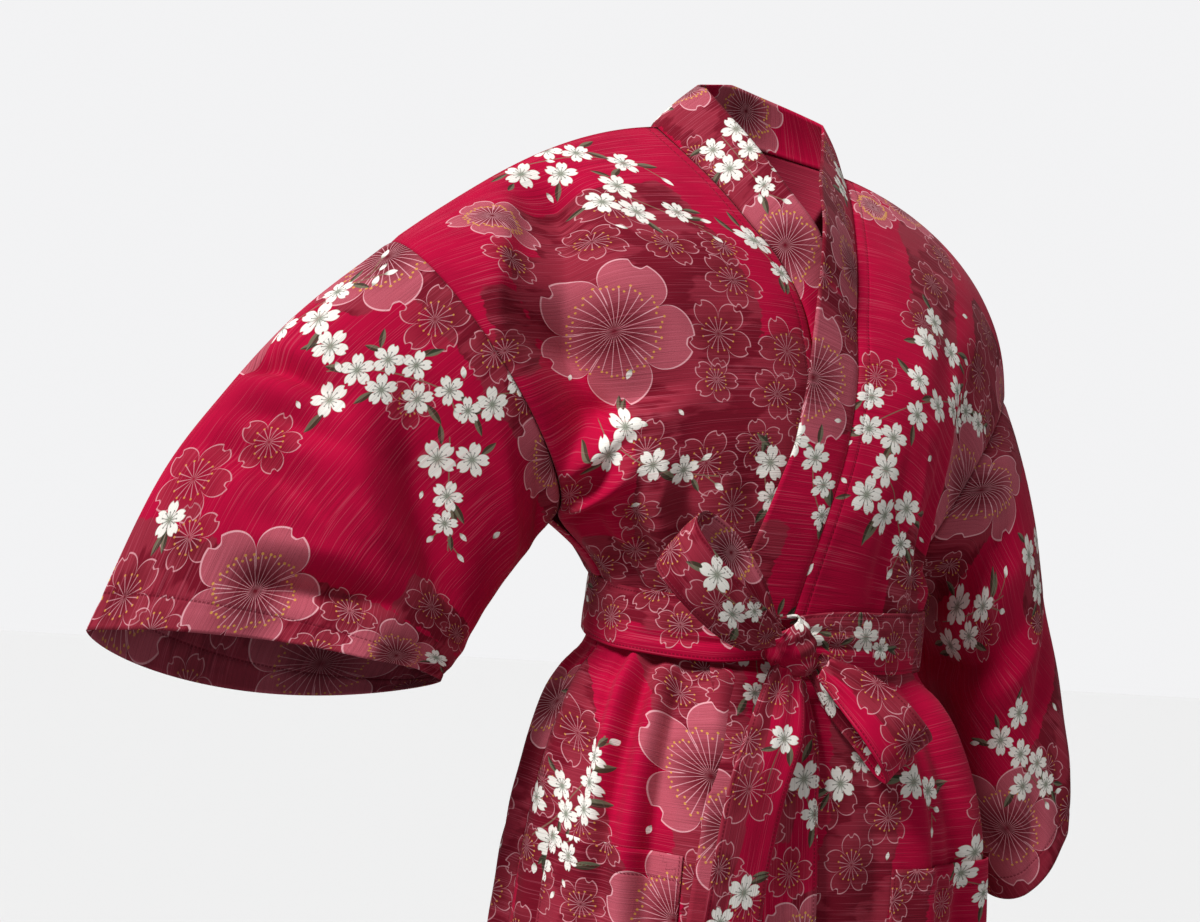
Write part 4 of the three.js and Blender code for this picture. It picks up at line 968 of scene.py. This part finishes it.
SLEEVE_FOLDS = {
    RIGHT: rows(
        "s v s2 v2 wide high bow grow lean fall", (-0.03, 0.44, 0.2, 0.4, 13, -17, 6, 0.3, -0.3),
        (0.0, 0.37, 0.16, 0.36, 13, 5, 0, 0.3), (0.03, 0.53, 0.22, 0.45, 15, -12, -4, 0.45, -0.3),
        (0.02, 0.62, 0.26, 0.66, 18, -13, 4, 0.45, -0.3),
        (0.16, 0.88, 0.34, 0.74, 15, -18, -13, 0.3, -0.3, 0.5), (0.14, 0.78, 0.28, 0.68, 14, 6, -8),
        (0.16, 0.16, 0.42, 0.74, 24, -18, -6, 0.45, -0.3), (0.24, 0.06, 0.46, 0.4, 15, 7),
        (0.28, -0.04, 0.48, 0.2, 15, -9), (0.12, 0.3, 0.34, 0.86, 17, 6, 8),
        (0.22, 0.8, 0.23, 1.25, 18, -9, 0, 0.5, 0.25, 0.1),
        (0.31, 0.8, 0.33, 1.25, 19, 17, 0, 0.5, 0.25, 0.1),
        (0.41, 0.78, 0.42, 1.25, 15, -12, 0, 0.5, 0.25, 0.1), (0.04, 0.8, 0.12, 1.15, 20, -5),
        (0.6, 0.1, 0.7, 0.9, 24, -12, 6), (0.72, 0.2, 0.76, 1.0, 18, 8),
        (0.84, 0.15, 0.84, 0.8, 22, -10), (0.93, 0.3, 0.92, 0.9, 14, 5)),
    LEFT: rows(
        "s v s2 v2 wide high bow grow lean fall", (0.18, 0.2, 0.46, 0.07, 15, -12, 6, 0.3),
        (0.18, 0.28, 0.5, 0.14, 13, 7, 4), (0.18, 0.42, 0.52, 0.22, 14, -12, -6, 0.5, -0.3, 0.2),
        (0.14, 0.5, 0.46, 0.36, 15, 6, -5), (0.08, 0.5, 0.34, 0.66, 20, -7, 8),
        (0.3, 0.6, 0.38, 1.1, 20, -8), (0.2, 0.62, 0.24, 1.1, 15, 7),
        (0.56, 0.15, 0.84, 0.4, 22, -12), (0.6, 0.5, 0.9, 0.7, 20, -9),
        (0.7, 0.35, 0.94, 0.55, 14, 6)),
}


def sleeve_tube(side, turn, t):
    """A sleeve: t from the armhole to the cuff, turn once round from the top by the front."""
    at = {name: column(SLEEVE[side], "t", name, t) for name in ("top", "low", "front", "back", "sharp")}
    angle = turn * 2 * np.pi
    bow = np.sin(angle)[None, :]
    mid, half = (at["top"] + at["low"]) / 2, (at["top"] - at["low"]) / 2
    aside = np.where((bow >= 0)[..., None], at["front"][:, None], at["back"][:, None])
    return (mid[:, None] + half[:, None] * np.cos(angle)[None, :, None]
            + aside * (np.abs(bow) ** at["sharp"][:, None])[..., None])


turns = np.linspace(0, 1, 181)
lengths = np.linspace(1, 0, 110)
for side, word in ((RIGHT, "right"), (LEFT, "left")):
    order = turns if side == RIGHT else turns[::-1]
    base = sleeve_tube(side, order, lengths)
    high = folds(SLEEVE_FOLDS[side], order, lengths, SLEEVE_ROUND, SLEEVE_LONG)
    waves = ripple(order, lengths, SLEEVE_ROUND, SLEEVE_LONG, 51 + side, 70.0, 0.6)
    high += waves * np.sin(np.pi * order)
    high *= smooth(lengths / 0.1)[:, None]
    high += seam_dip(lengths * SLEEVE_LONG[0])[:, None]
    high += seam_dip((1 - lengths) * SLEEVE_LONG[0] - HEM_TURN, 0.6, 3.0)[:, None]
    points = base + normals_of(base, True) * high[..., None]
    along, around = climb(base), arc(base, 1)
    uv = side * np.stack([along, around], -1)
    sleeve = add_piece("cloth_sleeve_" + word, points, uv, np.stack([along - HEM_TURN, around], -1),
                       CLOTH, "sleeve_" + word, closed=True)
    settle(sleeve, ["sleeve_" + word])

# Collar band
# One long band, doubled and stitched down, from the right hem up round the neck and down the
# left front. It stands a little at the nape and lies flat on the fronts.
PRINT["collar_band"] = printed(
    band=[
        (-70, 0, 985, 1190), (-70, -22, 1370, 1560), (-70, 0, 1560, 1680), (-70, -30, 1760, 2500),
        (-70, -30, 0, 700), (-70, -8, 720, 880)],
    large=[
        (-48, 1640, 56, 60), (-10, 965, 50, 20), (-14, 1520, 44, 100), (-50, 1150, 36, 0),
        (-30, 1260, 40, 40), (-20, 560, 52, 70), (-40, 250, 52, 10), (-36, 2010, 50, 90),
        (-16, 2330, 50, 30)],
    spray=[
        (-34, 1078, -85, 75, 6), (-34, 1690, 85, 80, 7), (-30, 1160, 80, 40, 3),
        (-10, 1385, 100, 40, 2), (-24, 1850, 80, 90, 6), (-40, 2130, 80, 100, 6),
        (-20, 760, -80, 90, 5), (-30, 430, -80, 90, 6), (-20, 130, 80, 80, 5)])
t_neck = np.linspace(0, 1, 26)
stations = {}
for name in ("seam", "free"):
    stations[name] = np.concatenate([
        ease(collar_edge(RIGHT, v, name)), neck_edge(RIGHT, t_neck, name)[1:],
        neck_edge(LEFT, t_neck[:-1], name)[::-1], ease(collar_edge(LEFT, v, name))[::-1][1:]])
w = np.linspace(0, 1, 15)
base = stations["seam"][:, None] + (stations["free"] - stations["seam"])[:, None] * w[None, :, None]
crown = 1.8 * np.sin(np.pi * w) - 1.2 * np.exp(-((w * BAND / 3) ** 2))
rng = np.random.default_rng(5)
length = np.linspace(0, 1, len(base))
waver = sum(np.sin(length * 2 * np.pi * k + rng.uniform(0, TURN)) for k in (9, 14, 23, 31)) * 0.3
band_points = base + normals_of(base) * (crown[None, :] + waver[:, None] * w[None, :])[..., None]
along, aside = climb(band_points), arc(band_points, 1)
band = add_piece("cloth_collar_band", band_points, np.stack([-aside, along], -1),
                 np.stack([aside + FAR, along], -1), 1.6, "collar_band")
settle(band, ["collar_band"])

# Pockets
# Square patch pockets of the same cotton with a turned top hem, sewn to the fronts on three
# sides, so that only their mouths gape.
PRINT["pocket_right"] = printed(
    band=[
        (-340, -228, 250, 440)],
    large=[
        (-190, 388, 56, 20), (-300, 300, 48, 90)],
    spray=[
        (-316, 420, 10, 60, 4), (-240, 330, -60, 80, 5)])
PRINT["pocket_left"] = printed(
    band=[
        (100, 150, 250, 440), (230, 300, 250, 340)],
    large=[
        (130, 330, 50, 40), (268, 290, 46, 0)],
    spray=[
        (200, 425, -20, 60, 4), (170, 300, -50, 80, 5)])
POCKET_TOP_Z, POCKET_LOW_Z = -562.0, -750.0
POCKET_WIDE, POCKET_SEWN = 150, 2.5      # the stitches lie 2.5 mm inside the edge
pocket_rows = (level_of(TRUNK_ROWS) >= POCKET_LOW_Z) & (level_of(TRUNK_ROWS) <= POCKET_TOP_Z)
for word, points, normals, uv, ends in (
        ("right", right_points, right_normals, right_uv, (0.1, 0.5)),
        ("left", left_points, left_normals, left_uv, (0.28, 0.7))):
    cols = np.linspace(0, 1, points.shape[1])
    keep = (cols >= ends[0] - 1e-6) & (cols <= ends[1] + 1e-6)
    patch = points[pocket_rows][:, keep]
    out = normals[pocket_rows][:, keep]
    up = np.linspace(0, 1, len(patch))
    side_way = np.linspace(0, 1, patch.shape[1])
    gape = np.sin(np.pi * side_way)[None, :] * smooth((up - 0.7) / 0.3)[:, None] * 3.0
    if word == "left":
        gape = gape * 2.2 * side_way[None, :]
    raised = patch + out * (1.7 + gape)[..., None]
    flat = uv[pocket_rows][:, keep]
    down = (up[-1] - up)[:, None] * (POCKET_TOP_Z - POCKET_LOW_Z) * np.ones(patch.shape[1])
    sideward = np.minimum(side_way, 1 - side_way)[None, :] * POCKET_WIDE * np.ones(len(up))[:, None]
    lowest = up[:, None] * (POCKET_TOP_Z - POCKET_LOW_Z) * np.ones(patch.shape[1])
    nearest = np.minimum(sideward, lowest) - POCKET_SEWN
    hem = down - HEM_TURN
    edge = np.stack([np.where(np.abs(hem) < np.abs(nearest), hem, nearest), down + sideward], -1)
    pocket = add_piece("cloth_pocket_" + word, raised, flat, edge, 1.0, "pocket_" + word)
    settle(pocket, ["pocket_" + word])

# Belt
# A 50 mm tube of the same cotton pressed flat, two metres long: once round the waist, then
# tied in a bow whose loops and ends crease lengthwise where they leave the knot.
PRINT["belt"] = printed(
    band=[
        (-10, 860, -4, 30), (110, 390, -30, 6), (870, 1250, -30, -6), (1230, 1360, -30, 4),
        (1400, 1560, 0, 30), (500, 580, -30, 30)],
    large=[
        (190, 12, 36, 80), (450, 8, 38, 20), (1120, -12, 40, 50), (1440, 14, 40, 10),
        (760, 16, 30, 60)],
    spray=[
        (18, 6, 0, 50, 3), (300, 4, 10, 60, 3), (540, 0, -10, 60, 4), (820, 10, 180, 40, 2),
        (930, 8, -10, 40, 1), (1050, -6, 10, 40, 3), (1310, 10, 5, 60, 4), (1180, 4, -10, 60, 3)])
BELT, BELT_Z, BELT_DIP = 50.0, -384.0, 8.0
BELT_CLOTH, BELT_OFF = 1.4, 5.5      # its thickness, and how far it stands off the trunk
WAIST_RADIUS, KNOT_X = 130, -24.0
angles = np.linspace(0, 2 * np.pi, 361)
h = np.linspace(-1, 1, 25)
r = {k: float(value[0]) for k, value in ring(BELT_Z).items()}
front_share = smooth((np.cos(angles) + 0.5) / 0.8)
out = BELT_OFF + (LAP + 2.0) * front_share
deep = np.where(np.cos(angles) > 0, r["front"], r["back"]) + out
knot_angle = math.asin((KNOT_X - r["x"]) / r["wide"])
from_knot = np.abs((angles - knot_angle + np.pi) % (2 * np.pi) - np.pi) * WAIST_RADIUS
pinch = 1 - 0.3 * np.exp(-((from_knot / 30) ** 2))
bulge = 1.6 * (1 - h[:, None] ** 2) * np.ones(len(angles))
crease_at = -0.28 + 0.16 * np.sin(angles * 2 + 0.6)
crease = -2.6 * np.exp(-(((h[:, None] - crease_at) / 0.12) ** 2)) * smooth((170 - from_knot) / 120)
second_at = 0.45 - 0.1 * np.cos(angles * 3)
second = -1.8 * np.exp(-(((h[:, None] - second_at) / 0.1) ** 2)) * smooth((80 - from_knot) / 60)
swell = bulge + crease + second + 0.35 * np.sin(angles * 17 + h[:, None] * 2)
swell = swell + (h[:, None] < 0) * -h[:, None] * 1.5
wide, depth = r["wide"] + BELT_OFF + swell, deep + swell
belt_points = np.stack([
    r["x"] + wide * np.sin(angles), r["y"] - depth * np.cos(angles),
    BELT_Z - BELT_DIP * front_share + h[:, None] * BELT / 2 * pinch], -1)
around = arc(belt_points, 1)
up = h[:, None] * BELT / 2 * np.ones(len(angles))
belt_wrap = add_piece("cloth_belt_wrap", belt_points, np.stack([around, up], -1),
                      np.stack([BELT / 2 - np.abs(up) - 3, around], -1), BELT_CLOTH, "belt", closed=True)
settle(belt_wrap, ["belt_wrap"])


def add_ribbon(name, stops, crease=2.0, curl=1.5, columns=17, count=120, phase=0.0):
    """A stretch of belt: centre line and half width from a table, curled at its edges and
    creased lengthwise, most where a stop's crease is 1."""
    last = len(stops) - 1
    table = [dict(row, t=i / last) for i, row in enumerate(stops)]
    t = np.linspace(0, 1, count)
    u = np.linspace(-1, 1, columns)
    at, half, sharp = (column(table, "t", key, t) for key in ("at", "half", "crease"))
    points = at[:, None] + half[:, None] * u[None, :, None]
    lines = np.cos(u * 2.4 * np.pi + phase)[None, :] * crease * sharp[:, None]
    lines = lines + curl * (u**2)[None, :] * (1 - sharp[:, None] * 0.5)
    lines = lines + 0.5 * np.sin(t * 21 + phase)[:, None] * u[None, :]
    points = points + normals_of(points) * lines[..., None]
    flat_u = u[None, :] * BELT / 2 * np.ones((count, 1))
    along = climb(points)
    edge = np.stack([BELT / 2 - np.abs(flat_u) - 3, along], -1)
    return add_piece(name, points, np.stack([along + 300 * phase, flat_u], -1), edge, BELT_CLOTH, "belt")


upper = add_ribbon("cloth_belt_loop_upper", rows(
    "at half crease", ((-45, -168, -388), (6, 0, 10), 1.0), ((-71, -167, -360), (12, -1, 19), 0.7),
    ((-98, -162, -331), (14, -2, 20), 0.3), ((-128, -167, -315), (14, -2, 19), 0.1),
    ((-144, -182, -322), (14, -3, 18), 0.1), ((-135, -197, -341), (14, -3, 17), 0.2),
    ((-104, -201, -367), (13, -2, 17), 0.4), ((-72, -194, -384), (10, -1, 15), 0.8),
    ((-45, -180, -390), (6, 0, 9), 1.0)),
    phase=0.4)
settle(upper, ["belt_loop_upper"])
lower = add_ribbon("cloth_belt_loop_lower", rows(
    "at half crease", ((-3, -172, -407), (6, 0, 8), 1.0), ((22, -185, -430), (13, -2, 17), 0.6),
    ((42, -197, -450), (16, -3, 18), 0.3), ((60, -205, -470), (17, -3, 18), 0.1),
    ((63, -217, -474), (17, -3, 18), 0.1), ((50, -228, -462), (17, -2, 18), 0.2),
    ((30, -222, -440), (15, -2, 17), 0.5), ((13, -204, -422), (11, -1, 14), 0.8),
    ((-3, -186, -409), (6, 0, 8), 1.0)),
    phase=1.7)
settle(lower, ["belt_loop_lower"])
tail_front = add_ribbon("cloth_belt_tail_front", rows(
    "at half crease", ((-30, -176, -414), (14, 0, -6), 1.0), ((-52, -207, -455), (24, -1, -5), 0.5),
    ((-74, -224, -505), (25, 0, -3), 0.2), ((-84, -228, -590), (25, 0, 0), 0.1),
    ((-86, -230, -680), (25, 0, 1), 0.1), ((-84, -231, -760), (25, 0, 0), 0.1)),
    phase=2.9, crease=1.3, curl=1.0)
settle(tail_front, ["belt_tail_front"])
tail_back = add_ribbon("cloth_belt_tail_back", rows(
    "at half crease", ((-25, -170, -418), (12, 0, 5), 1.0), ((-30, -194, -470), (24, 0, 4), 0.5),
    ((-32, -209, -530), (25, 0, 3), 0.2), ((-28, -217, -620), (25, -1, 1), 0.1),
    ((-26, -220, -720), (25, -1, 0), 0.1)),
    phase=4.1, crease=1.3, curl=1.0)
settle(tail_back, ["belt_tail_back"])

# The knot: the belt passed once round itself, its pleats drawn tight
KNOT = dict(x=KNOT_X, y=-167.9, z=-398.0, wide=21.0, deep=11.0, tall=21.0, tilt=0.5)
turn = np.linspace(0, 2 * np.pi, 97)
up = np.linspace(-1, 1, 25)
bulge = 1 - 0.25 * up[:, None] ** 2
pleat = 1.1 * np.cos(up[:, None] * 9 + 1.2 * np.sin(turn)) * np.clip(np.cos(turn) + 0.6, 0, 1)
x = (KNOT["wide"] * bulge + pleat) * np.sin(turn)
y = -(KNOT["deep"] * bulge + pleat) * np.cos(turn)
z = KNOT["tall"] * up[:, None] * np.ones(len(turn)) - 2.5 * np.cos(turn)
c, s = math.cos(KNOT["tilt"]), math.sin(KNOT["tilt"])
knot_points = np.stack([KNOT["x"] + x * c - z * s, KNOT["y"] + y, KNOT["z"] + x * s + z * c], -1)
around = arc(knot_points, 1)
knot = add_piece("cloth_belt_knot", knot_points, np.stack([z, around], -1),
                 np.stack([KNOT["tall"] - np.abs(z) + FAR, around], -1), BELT_CLOTH, "belt", closed=True)
settle(knot, ["belt_knot"])

# Floor
# A wide matt sheet under the robe, pale to the camera, that throws little light back.
FLOOR_Z = -1.32
FLOOR_SIZE = 14.0
floor_mesh = bpy.data.meshes.new("floor")
half = FLOOR_SIZE / 2
corners = [(x, y, FLOOR_Z) for x, y in ((-half, -half), (half, -half), (half, half), (-half, half))]
floor_mesh.from_pydata(corners, [], [(0, 1, 2, 3)])
paper = bpy.data.materials.new("pale_floor")
paper.use_nodes = True
FLOOR_SEEN, FLOOR_BOUNCE = (0.72, 0.72, 0.72, 1), (0.3, 0.3, 0.3, 1)
seen = node(paper.node_tree, "LightPath")
paper.node_tree.links.new(
    node(paper.node_tree, "Mix", seen, None, None, None, None, None, FLOOR_BOUNCE, FLOOR_SEEN,
         data_type="RGBA", out=2),
    paper.node_tree.nodes["Principled BSDF"].inputs["Base Color"])
paper.node_tree.nodes["Principled BSDF"].inputs["Roughness"].default_value = 0.9
floor_mesh.materials.append(paper)
floor = bpy.data.objects.new("floor", floor_mesh)
bpy.context.scene.collection.objects.link(floor)
